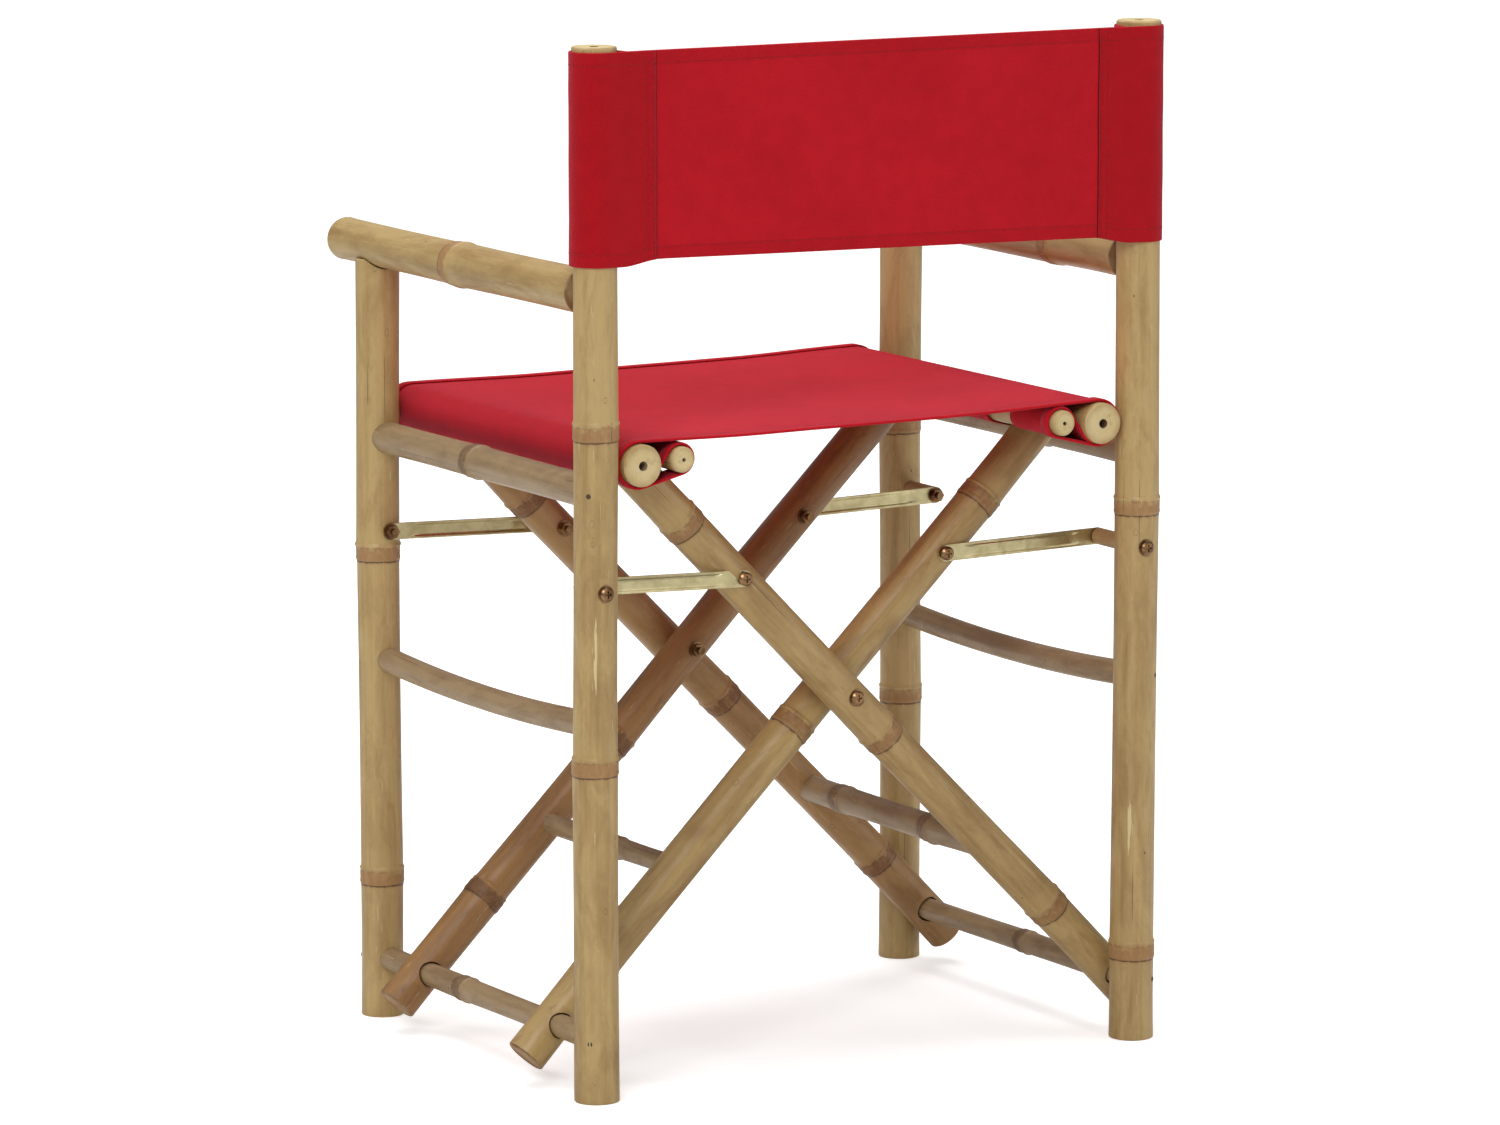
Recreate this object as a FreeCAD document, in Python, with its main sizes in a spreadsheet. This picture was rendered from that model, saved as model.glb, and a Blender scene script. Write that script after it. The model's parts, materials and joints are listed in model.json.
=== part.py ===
import FreeCAD, Part
import math
import os
import Sketcher
from FreeCAD import Placement, Rotation, Vector

# Folding director chair of bamboo culms with a cloth seat and back.
# Millimetres. +X is the sitter's left, -Y the way the chair faces, +Z up.
# The origin is the middle of the footprint, on the floor, with the chair open.
#
# Each side frame is a front post, a rear post, an armrest and three rungs.
# Two X frames join them: the outer legs turn on the right foot rung and carry
# the left seat rail, the inner legs turn on the left foot rung and carry the
# right seat rail. They cross at one bolt, front and rear. Four pressed steel
# links hold the side frames upright.

doc = FreeCAD.newDocument("director_chair")

# ---------------------------------------------------------------- driving sizes
DRIVING = (
    # side frames
    ("post_spacing_wide", 505.0, "between post centres, across the chair"),
    ("post_spacing_deep", 386.0, "between post centres, front to rear"),
    ("rear_post_height", 850.0, "floor to the top of a rear post"),
    ("post_diameter", 37.0, "all four posts"),
    ("armrest_height", 654.0, "floor to the armrest's axis"),
    ("armrest_diameter", 37.0, ""),
    ("armrest_overhang", 67.0, "armrest tip ahead of the front post's axis"),
    ("armrest_tip_round", 13.0, "rounding of the closed front end"),
    ("armrest_lap", 3.0, "how far the armrest's rear end reaches round the rear post"),
    ("front_post_lap", 8.0, "how far a front post's top reaches up beside the armrest"),
    ("seat_side_rung_height", 494.0, ""),
    ("seat_side_rung_diameter", 27.0, ""),
    ("middle_rung_height", 307.0, "at its ends"),
    ("middle_rung_diameter", 21.0, ""),
    ("middle_rung_bow", 7.0, "drop at mid length"),
    ("foot_pivot_height", 50.0, "floor to the foot rung's axis"),
    ("foot_rung_diameter", 20.0, ""),
    ("socket_depth", 18.0, "of a rung's end in a post or leg"),
    ("socket_clearance", 0.05, "radial, round a rung's end"),
    # X frames
    ("crossing_height", 305.0, "floor to the crossing bolts"),
    ("leg_diameter", 34.0, ""),
    ("leg_toe", 37.0, "leg below the foot rung, along the leg"),
    ("leg_gap", 4.0, "between an outer and an inner leg where they cross"),
    ("rail_post_gap", 2.4, "between a seat rail and the posts beside it"),
    ("left_rail_set_out", 5.0, "left rail's axis outside the outer legs' axis"),
    ("right_rail_set_out", 1.0, "right rail's axis outside the inner legs' axis"),
    ("leg_top_short", 6.0, "leg end short of its rail's axis"),
    ("leg_rung_reach", 165.0, "foot rung to the leg rung, along the legs"),
    ("outer_leg_rung_diameter", 24.0, ""),
    ("inner_leg_rung_diameter", 18.0, ""),
    ("leg_rung_socket", 12.0, "depth of a leg rung's end in its leg"),
    ("foot_hole_clearance", 0.5, "radial, between a leg and the foot rung"),
    # seat rails and slip rods
    ("seat_rail_diameter", 34.0, ""),
    ("rail_past_rear_post", 10.5, "rail's rear end behind the rear posts' axis"),
    ("rail_past_front_post", 29.0, "rail's front end ahead of the front posts' axis"),
    ("slip_rod_diameter", 21.0, ""),
    ("slip_rod_inset", 37.0, "slip rod's axis inboard of its rail's axis"),
    ("slip_rod_rise", 2.5, "slip rod's axis above its rail's axis"),
    ("slip_rod_notch_clearance", 0.4, "between a slip rod and the leg end under it"),
    # folding
    ("fold_angle", 79.0, "leg angle above the floor when folded, in degrees"),
    ("fold_splay", 3.0, "outward lean of each side frame when folded, in degrees"),
    # links and fasteners
    ("link_bolt_reach", 150.0, "crossing to the link's bolt, along a leg"),
    ("link_width", 14.0, ""),
    ("link_thickness", 2.0, ""),
    ("link_rib_height", 1.2, ""),
    ("link_rib_width", 8.0, ""),
    ("link_flat_end", 22.0, "bolt to the start of the rib"),
    ("link_clearance", 0.3, "between a link and the wood each side of it"),
    ("spacer_diameter", 14.0, "wooden spacer between a right post and its link"),
    ("bolt_diameter", 6.0, ""),
    ("bolt_clearance", 0.1, "radial, in a hole that a bolt passes through"),
    ("bolt_head_diameter", 11.5, ""),
    ("bolt_head_height", 3.5, ""),
    ("bolt_recess_width", 1.4, "cross recess in a bolt's head"),
    ("bolt_recess_length", 6.0, ""),
    ("bolt_recess_depth", 1.8, ""),
    ("washer_diameter", 14.0, ""),
    ("washer_thickness", 1.2, ""),
    ("nut_across_corners", 11.5, ""),
    ("nut_height", 5.0, ""),
    ("bolt_end_length", 3.5, "thread left past the nut"),
    ("bolt_seat_depth", 1.2, "flat cut in a culm under a washer"),
    ("rail_screw_diameter", 5.0, ""),
    ("rail_screw_head_diameter", 9.5, ""),
    ("rail_screw_head_height", 3.0, ""),
    ("rail_screw_sink", 1.0, "screw head below the rail's surface"),
    ("rail_screw_length", 62.0, ""),
    ("dowel_diameter", 12.0, "hidden dowels of the armrests"),
    ("dowel_length", 30.0, ""),
    ("nail_diameter", 2.0, ""),
    ("nail_head_diameter", 4.0, ""),
    ("nail_head_height", 0.8, ""),
    ("nail_length", 27.0, ""),
    # culm details
    ("ring_height", 0.8, "height of a culm's node ring"),
    ("ring_width", 9.0, "length of a node ring along the culm"),
    ("end_chamfer", 1.0, "broken edge of a cut end"),
    ("pith_diameter", 7.0, "pith hole in a wide culm's cut end"),
    ("thin_pith_diameter", 2.5, "pith hole in a slip rod"),
    ("pith_depth", 40.0, ""),
    # cloth
    ("cloth_thickness", 1.2, ""),
    ("cloth_slack", 0.4, "between cloth and the wood inside it"),
    ("seat_rear_margin", 6.5, "rail's rear end past the seat's edge"),
    ("seat_front_margin", 7.0, "rail's front end past the seat's edge"),
    ("seat_notch_margin", 4.0, "seat's cut-out round a leg"),
    ("back_top_drop", 4.0, "rear post's top above the back's top edge"),
    ("back_cover_height", 171.0, ""),
    ("back_seam_inset", 38.0, "sleeve seam inboard of the rear post's axis"),
    ("back_panel_behind", 12.0, "back panel behind the rear posts' axes"),
)

# Node rings of each culm. A place is measured from the culm's lower or front end,
# or for a ring near a bolt, from the link's bolt in a post or the crossing bolt in a
# leg, so that no ring comes under a link. The seat rails and slip rods are sanded
# smooth for the cloth, so they have none.
RINGS = {
    "left_rear_post": (("end", 271.0), ("link", 126.0)),
    "left_front_post": (("end", 117.0), ("link", -22.0)),
    "right_rear_post": (("end", 72.0), ("link", 31.0)),
    "right_front_post": (("end", 231.0), ("link", 53.0)),
    "left_armrest": (("end", 218.0),),
    "right_armrest": (("end", 120.0), ("end", 330.0)),
    "left_seat_side_rung": (("end", 176.0),),
    "right_seat_side_rung": (("end", 236.0),),
    "left_foot_rung": (("end", 150.0),),
    "right_foot_rung": (("end", 212.0),),
    "outer_rear_leg": (("crossing", -276.0), ("crossing", -51.0), ("crossing", 214.0)),
    "outer_front_leg": (("crossing", -296.0), ("crossing", -78.0), ("crossing", 184.0)),
    "inner_rear_leg": (("crossing", -304.0), ("crossing", -45.0), ("crossing", 204.0)),
    "inner_front_leg": (("crossing", -279.0), ("crossing", -106.0), ("crossing", 75.0)),
    "outer_leg_rung": (("end", 58.0), ("end", 210.0)),
    "inner_leg_rung": (("end", 120.0),),
}

# Allowances for cutting tools and small turned details.
OVERCUT = 1.0  # a tool past the surface that it leaves by
SOCKET_OVERCUT = 10.0  # a socket's tool past the post's inner face
SEAT_OVERCUT = 5.0  # a washer seat's tool above the culm
SEAT_PLAY = 0.5  # radial, round a washer
HEAD_CHAMFER = 1.5  # a bolt head's edge
NAIL_POINT = 3.0  # length of a nail's point
SCREW_POINT = 6.0  # length of a rail screw's point
THREAD_PLAY = 0.02  # radial, between a nut and its bolt
SPACER_SADDLE = 4.0  # how far a spacer reaches round its post
SLEEVE_OPENING = 0.05  # half the gap inside a sleeve at its seam
SEAM_TURN = 20.0  # from a slip rod's top to the seat cloth's edge, in degrees
FIRST_SOLID_HEIGHT = 0.01  # edges below this are on a culm's first end


class Size:
    """A length that knows both its number and the sheet expression that gives it."""

    def __init__(self, expression, number):
        self.expression = expression
        self.number = number

    def _join(self, sign, other, number):
        text = other.expression if isinstance(other, Size) else repr(float(other))
        return Size(f"({self.expression} {sign} {text})", number)

    def __add__(self, other):
        return self._join("+", other, self.number + plain(other))

    def __sub__(self, other):
        return self._join("-", other, self.number - plain(other))

    def __mul__(self, factor):
        return self._join("*", factor, self.number * plain(factor))

    def __truediv__(self, factor):
        return self._join("/", factor, self.number / plain(factor))


def plain(size):
    """The plain number of a Size or of a number."""
    return size.number if isinstance(size, Size) else float(size)


class Sizes:
    """Every value of the sheet as an attribute."""


sheet = doc.addObject("Spreadsheet::Sheet", "sizes")
size = Sizes()
next_row = [1]


def add_size(alias, number, note=""):
    """Write one value to the sheet and keep it under the same name."""
    row = next_row[0]
    next_row[0] += 1
    sheet.set(f"A{row}", alias)
    sheet.set(f"B{row}", repr(float(number)))
    sheet.set(f"C{row}", note)
    sheet.setAlias(f"B{row}", alias)
    setattr(size, alias, Size(f"sizes.{alias}", float(number)))


for driving_alias, driving_number, driving_note in DRIVING:
    add_size(driving_alias, driving_number, driving_note)

# ---------------------------------------------------------------- worked-out places
half_wide = plain(size.post_spacing_wide) / 2
half_deep = plain(size.post_spacing_deep) / 2
post_radius = plain(size.post_diameter) / 2
leg_radius = plain(size.leg_diameter) / 2
pivot_z = plain(size.foot_pivot_height)
clearance = plain(size.link_clearance)

leg_rise = plain(size.crossing_height) - pivot_z
leg_to_crossing = math.hypot(half_wide, leg_rise)
leg_angle = math.atan2(leg_rise, half_wide)
link_on_leg = leg_to_crossing + plain(size.link_bolt_reach)
link_past_centre = leg_to_crossing - plain(size.link_bolt_reach)


def link_bolt_height():
    """Height of a post's link bolt above the foot rung, for which one link
    length fits both the open and the folded chair."""
    folded = math.radians(plain(size.fold_angle))
    splay = math.radians(plain(size.fold_splay))
    spread = link_past_centre ** 2 * (math.cos(leg_angle) ** 2 - math.cos(folded) ** 2)
    climb = link_on_leg ** 2 * (math.sin(leg_angle) ** 2 - math.sin(folded) ** 2)
    lean = 2 * link_past_centre * math.cos(folded) * math.sin(splay)
    lift = 2 * link_on_leg * (math.sin(leg_angle) - math.sin(folded) * math.cos(splay))
    return (spread + climb) / (lean + lift)


bolt_above_pivot = link_bolt_height()
link_length = math.hypot(
    link_past_centre * math.cos(leg_angle),
    link_on_leg * math.sin(leg_angle) - bolt_above_pivot,
)

# Layers from the middle of the chair's depth outwards, the same front and rear.
post_inner = half_deep - post_radius
link_outer = post_inner - clearance
link_inner = link_outer - plain(size.link_thickness)
outer_leg_y = link_inner - clearance - leg_radius
inner_leg_y = outer_leg_y - 2 * leg_radius - plain(size.leg_gap)
inner_link_outer = inner_leg_y + leg_radius + clearance + plain(size.link_thickness)

# The footprint reaches from the armrest's tip to the rear bolts' heads.
rear_reach = post_radius - plain(size.bolt_seat_depth) + plain(size.washer_thickness)
rear_reach += plain(size.bolt_head_height)
middle_y = (plain(size.armrest_overhang) - rear_reach) / 2

link_bolt_z = pivot_z + bolt_above_pivot


def rail_reach(set_out):
    """How far past the crossing bolt a seat rail lies, along its legs, for it to
    clear the posts beside it."""
    rail_radius = plain(size.seat_rail_diameter) / 2
    across = 2 * half_wide - post_radius - plain(size.rail_post_gap) - rail_radius
    along = (across - plain(set_out) * math.sin(leg_angle)) / math.cos(leg_angle)
    return along - leg_to_crossing


add_size("left_rail_reach", rail_reach(size.left_rail_set_out), "past the crossing bolt")
add_size("right_rail_reach", rail_reach(size.right_rail_set_out), "past the crossing bolt")
add_size("leg_length", leg_to_crossing + plain(size.leg_toe), "toe to crossing bolt")
add_size("link_length", link_length, "between a link's bolts")
add_size("rung_length", 2 * (post_inner + plain(size.socket_depth)), "between the posts")
add_size(
    "outer_leg_rung_length",
    2 * (outer_leg_y - leg_radius + plain(size.leg_rung_socket)),
    "between the outer legs",
)
add_size(
    "inner_leg_rung_length",
    2 * (inner_leg_y - leg_radius + plain(size.leg_rung_socket)),
    "between the inner legs",
)

ring_datums = {"end": 0.0, "link": link_bolt_z, "crossing": plain(size.leg_length)}
for ring_culm, ring_places in RINGS.items():
    for ring_letter, (datum, distance) in zip("abc", ring_places):
        add_size(f"{ring_culm}_ring_{ring_letter}", ring_datums[datum] + distance, "node ring")

SIDES = {"left": 1, "right": -1}
ENDS = {"rear": 1, "front": -1}
# The foot side of each pair of legs, its layer and the side its rail is on.
LEGS = {"outer": ("right", outer_leg_y, "left"), "inner": ("left", inner_leg_y, "right")}


def leg_point(pair, along, outwards=0.0):
    """X and Z of a point on a pair of legs: along the leg from the foot rung,
    and square to the leg, away from the chair's middle."""
    foot = SIDES[LEGS[pair][0]]
    x = foot * (half_wide - along * math.cos(leg_angle) - outwards * math.sin(leg_angle))
    z = pivot_z + along * math.sin(leg_angle) - outwards * math.cos(leg_angle)
    return x, z


def leg_direction(pair):
    foot = SIDES[LEGS[pair][0]]
    return Vector(-foot * math.cos(leg_angle), 0, math.sin(leg_angle))


def rail_centre(side):
    pair = "outer" if side == "left" else "inner"
    reach = plain(getattr(size, f"{side}_rail_reach"))
    set_out = plain(getattr(size, f"{side}_rail_set_out"))
    return leg_point(pair, leg_to_crossing + reach, set_out)


def slip_rod_centre(side):
    x, z = rail_centre(side)
    return x - SIDES[side] * plain(size.slip_rod_inset), z + plain(size.slip_rod_rise)


# ---------------------------------------------------------------- modelling helpers
def drive(obj, name, length):
    """Set a property and bind it to the sheet."""
    setattr(obj, name, length.number)
    obj.setExpression(name, length.expression)


def place(obj, position, direction=Vector(0, 0, 1)):
    """Put an object's own +Z along a direction."""
    obj.Placement = Placement(position, Rotation(Vector(0, 0, 1), direction))
    return obj


def origin_plane(body, role):
    return next(f for f in body.Origin.OriginFeatures if f.Role == role)


def new_sketch(body, name, role):
    sketch = body.newObject("Sketcher::SketchObject", name)
    sketch.AttachmentSupport = (origin_plane(body, role), "")
    sketch.MapMode = "FlatFace"
    return sketch


def constrain_point(sketch, edge, end, point):
    """Tie a sketch point to the origin by its two coordinates."""
    for axis, coordinate, kind in ((-2, point[0], "DistanceX"), (-1, point[1], "DistanceY")):
        if not isinstance(coordinate, Size):
            sketch.addConstraint(Sketcher.Constraint("PointOnObject", edge, end, axis))
            continue
        index = sketch.addConstraint(
            Sketcher.Constraint(kind, -1, 1, edge, end, coordinate.number)
        )
        sketch.setExpression(f"Constraints[{index}]", coordinate.expression)


def draw_outline(sketch, points):
    """A closed outline of straight edges through points of sheet sizes."""
    first = sketch.GeometryCount
    corners = [Vector(plain(x), plain(y), 0) for x, y in points]
    count = len(points)
    for index in range(count):
        sketch.addGeometry(Part.LineSegment(corners[index], corners[(index + 1) % count]))
    for index in range(count):
        after = first + (index + 1) % count
        sketch.addConstraint(Sketcher.Constraint("Coincident", first + index, 2, after, 1))
    for index, point in enumerate(points):
        constrain_point(sketch, first + index, 1, point)


def revolved(name, outline):
    """A body turned about its own Z from an outline of radius and height."""
    body = doc.addObject("PartDesign::Body", name)
    sketch = new_sketch(body, name + "_outline", "XZ_Plane")
    draw_outline(sketch, outline)
    turned = body.newObject("PartDesign::Revolution", name + "_turned")
    turned.Profile = sketch
    turned.ReferenceAxis = (sketch, ["V_Axis"])
    turned.Angle = 360.0
    body.Tip = turned
    return body


def rings_of(name):
    return [
        getattr(size, f"{name}_ring_{'abc'[index]}")
        for index in range(len(RINGS.get(name, ())))
    ]


def culm(name, length, diameter, pith_start=None, pith_end=None, sharp_start=False):
    """A bamboo culm along its own +Z: broken edges, node rings and, at a cut end
    that shows, a pith hole."""
    radius = diameter / 2
    edge = size.end_chamfer
    outline = [(0, 0)]
    if pith_start:
        outline = [(0, size.pith_depth), (pith_start / 2, size.pith_depth), (pith_start / 2, 0)]
    outline += [(radius, 0)] if sharp_start else [(radius - edge, 0), (radius, edge)]
    for ring in rings_of(name):
        outline.append((radius, ring - size.ring_width / 2))
        outline.append((radius + size.ring_height, ring))
        outline.append((radius, ring + size.ring_width / 2))
    outline += [(radius, length - edge), (radius - edge, length)]
    if pith_end:
        outline.append((pith_end / 2, length))
        outline.append((pith_end / 2, length - size.pith_depth))
        outline.append((0, length - size.pith_depth))
    else:
        outline.append((0, length))
    return revolved(name, outline)


def cylinder(name, radius, height, position, direction):
    """A plain cylinder, used as a cutting tool or as a dowel."""
    tool = doc.addObject("Part::Cylinder", name)
    drive(tool, "Radius", radius)
    drive(tool, "Height", height)
    return place(tool, position, direction)


def group(name, pieces):
    """Several identical fasteners as one named sub-part."""
    compound = doc.addObject("Part::Compound", name)
    compound.Links = pieces
    return keep(compound, name)


def cut(base, tools, name):
    """Cut tools from a base. Each tool may serve several cuts."""
    gathered = doc.addObject("Part::Compound", name + "_cutters")
    gathered.Links = tools
    result = doc.addObject("Part::Cut", name + "_cut")
    result.Base = base
    result.Tool = gathered
    return keep(result, name)


subparts = {}


def keep(obj, name):
    """Label an object as the finished sub-part of that name."""
    obj.Label = name
    subparts[name] = obj
    return obj


# ---------------------------------------------------------------- fasteners
def bolt(name, shank_length, position, direction):
    """A cross-recessed bolt. Its own origin is under its head, and the shank
    runs along +Z."""
    head_radius = size.bolt_head_diameter / 2
    shank_radius = size.bolt_diameter / 2
    outline = [
        (0, size.bolt_head_height),
        (head_radius - HEAD_CHAMFER, size.bolt_head_height),
        (head_radius, size.bolt_head_height - HEAD_CHAMFER),
        (head_radius, 0),
        (0, 0),
    ]
    head = revolved(name + "_head", outline)
    place(head, position, direction * -1)
    blades = []
    for turn in (0, 90):
        blade = doc.addObject("Part::Box", f"{name}_recess_{turn}")
        drive(blade, "Length", size.bolt_recess_length)
        drive(blade, "Width", size.bolt_recess_width)
        drive(blade, "Height", size.bolt_recess_depth + OVERCUT)
        corner = Vector(-blade.Length.Value / 2, -blade.Width.Value / 2, 0)
        floor = plain(size.bolt_head_height) - plain(size.bolt_recess_depth)
        upright = Rotation(Vector(0, 0, 1), direction * -1)
        spin = upright.multiply(Rotation(Vector(0, 0, 1), turn))
        middle = position + direction * -floor
        blade.Placement = Placement(middle + spin.multVec(corner), spin)
        blades.append(blade)
    recessed = doc.addObject("Part::Cut", name + "_recessed")
    recessed.Base = head
    cross = doc.addObject("Part::Compound", name + "_cross")
    cross.Links = blades
    recessed.Tool = cross
    shank = cylinder(name + "_shank", shank_radius, shank_length, position, direction)
    whole = doc.addObject("Part::Fuse", name)
    whole.Base = recessed
    whole.Tool = shank
    return whole


def washer(name, position, direction, hole_radius=None):
    """A flat ring that stands on its position, along the direction."""
    hole = hole_radius or size.bolt_diameter / 2 + size.bolt_clearance
    outer = size.washer_diameter / 2
    outline = [(hole, 0), (outer, 0), (outer, size.washer_thickness), (hole, size.washer_thickness)]
    return place(revolved(name, outline), position, direction)


def nut(name, position, direction):
    """A hexagon nut on a bolt's thread, standing on its position."""
    block = doc.addObject("Part::Prism", name + "_block")
    block.Polygon = 6
    drive(block, "Circumradius", size.nut_across_corners / 2)
    drive(block, "Height", size.nut_height)
    place(block, position, direction)
    bore = cylinder(
        name + "_bore",
        size.bolt_diameter / 2 + THREAD_PLAY,
        size.nut_height + 2 * OVERCUT,
        position - direction * OVERCUT,
        direction,
    )
    threaded = doc.addObject("Part::Cut", name)
    threaded.Base = block
    threaded.Tool = bore
    return threaded


def bolt_hole(name, position, direction, length):
    return cylinder(
        name, size.bolt_diameter / 2 + size.bolt_clearance, length, position, direction
    )


def bolt_seat(name, position, direction):
    """Cuts a flat for a washer. The position is on the culm's surface and the
    direction points into the culm."""
    radius = size.washer_diameter / 2 + SEAT_PLAY
    start = position - direction * SEAT_OVERCUT
    return cylinder(name, radius, size.bolt_seat_depth + SEAT_OVERCUT, start, direction)


def nail(name, target, inward):
    """A nail whose head lies on a post's surface, aimed at the post's axis."""
    start = target - inward * post_radius
    head_radius = size.nail_head_diameter / 2
    shank_radius = size.nail_diameter / 2
    outline = [
        (0, 0),
        (head_radius, 0),
        (head_radius, size.nail_head_height),
        (shank_radius, size.nail_head_height),
        (shank_radius, size.nail_length - NAIL_POINT),
        (0, size.nail_length),
    ]
    return place(revolved(name, outline), start, inward)


# ---------------------------------------------------------------- side frames
RUNG_HEIGHTS = {
    "seat_side_rung": size.seat_side_rung_height,
    "middle_rung": size.middle_rung_height,
    "foot_rung": size.foot_pivot_height,
}
RUNG_DIAMETERS = {
    "seat_side_rung": size.seat_side_rung_diameter,
    "middle_rung": size.middle_rung_diameter,
    "foot_rung": size.foot_rung_diameter,
}


def bowed_rung(name):
    """The middle rung: a round pipe along a shallow downward arc, with its own
    origin at mid length between its ends."""
    body = doc.addObject("PartDesign::Body", name)
    half = size.rung_length / 2
    path = new_sketch(body, name + "_path", "YZ_Plane")
    ends = Vector(-half.number, 0, 0), Vector(half.number, 0, 0)
    dip = Vector(0, -plain(size.middle_rung_bow), 0)
    arc = Part.Arc(ends[0], dip, ends[1])
    path.addGeometry(arc)
    start = 1 if arc.value(arc.FirstParameter).x < 0 else 2
    path.addConstraint(Sketcher.Constraint("PointOnObject", 0, 1, -1))
    path.addConstraint(Sketcher.Constraint("PointOnObject", 0, 2, -1))
    path.addConstraint(Sketcher.Constraint("PointOnObject", 0, 3, -2))
    reach = path.addConstraint(
        Sketcher.Constraint("DistanceX", 0, start, 0, 3 - start, 2 * half.number)
    )
    path.setExpression(f"Constraints[{reach}]", (half * 2).expression)
    bow = size.middle_rung_bow
    arc_radius = (half * half + bow * bow) / (bow * 2)
    bend = path.addConstraint(Sketcher.Constraint("Radius", 0, arc_radius.number))
    path.setExpression(f"Constraints[{bend}]", arc_radius.expression)
    ring = new_sketch(body, name + "_section", "XZ_Plane")
    ring.addGeometry(Part.Circle(Vector(0, -bow.number, 0), Vector(0, 0, 1), 10))
    ring.addConstraint(Sketcher.Constraint("PointOnObject", 0, 3, -2))
    drop = ring.addConstraint(Sketcher.Constraint("DistanceY", 0, 3, -1, 1, bow.number))
    ring.setExpression(f"Constraints[{drop}]", bow.expression)
    width = ring.addConstraint(
        Sketcher.Constraint("Radius", 0, plain(size.middle_rung_diameter) / 2)
    )
    ring.setExpression(f"Constraints[{width}]", (size.middle_rung_diameter / 2).expression)
    return body, path, ring


def pipe_rung(name):
    """The bowed rung as a pipe: its section starts at one end of the path."""
    body, path, ring = bowed_rung(name)
    pipe = body.newObject("PartDesign::AdditivePipe", name + "_pipe")
    pipe.Profile = ring
    pipe.Spine = (path, ["Edge1"])
    body.Tip = pipe
    return body


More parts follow.
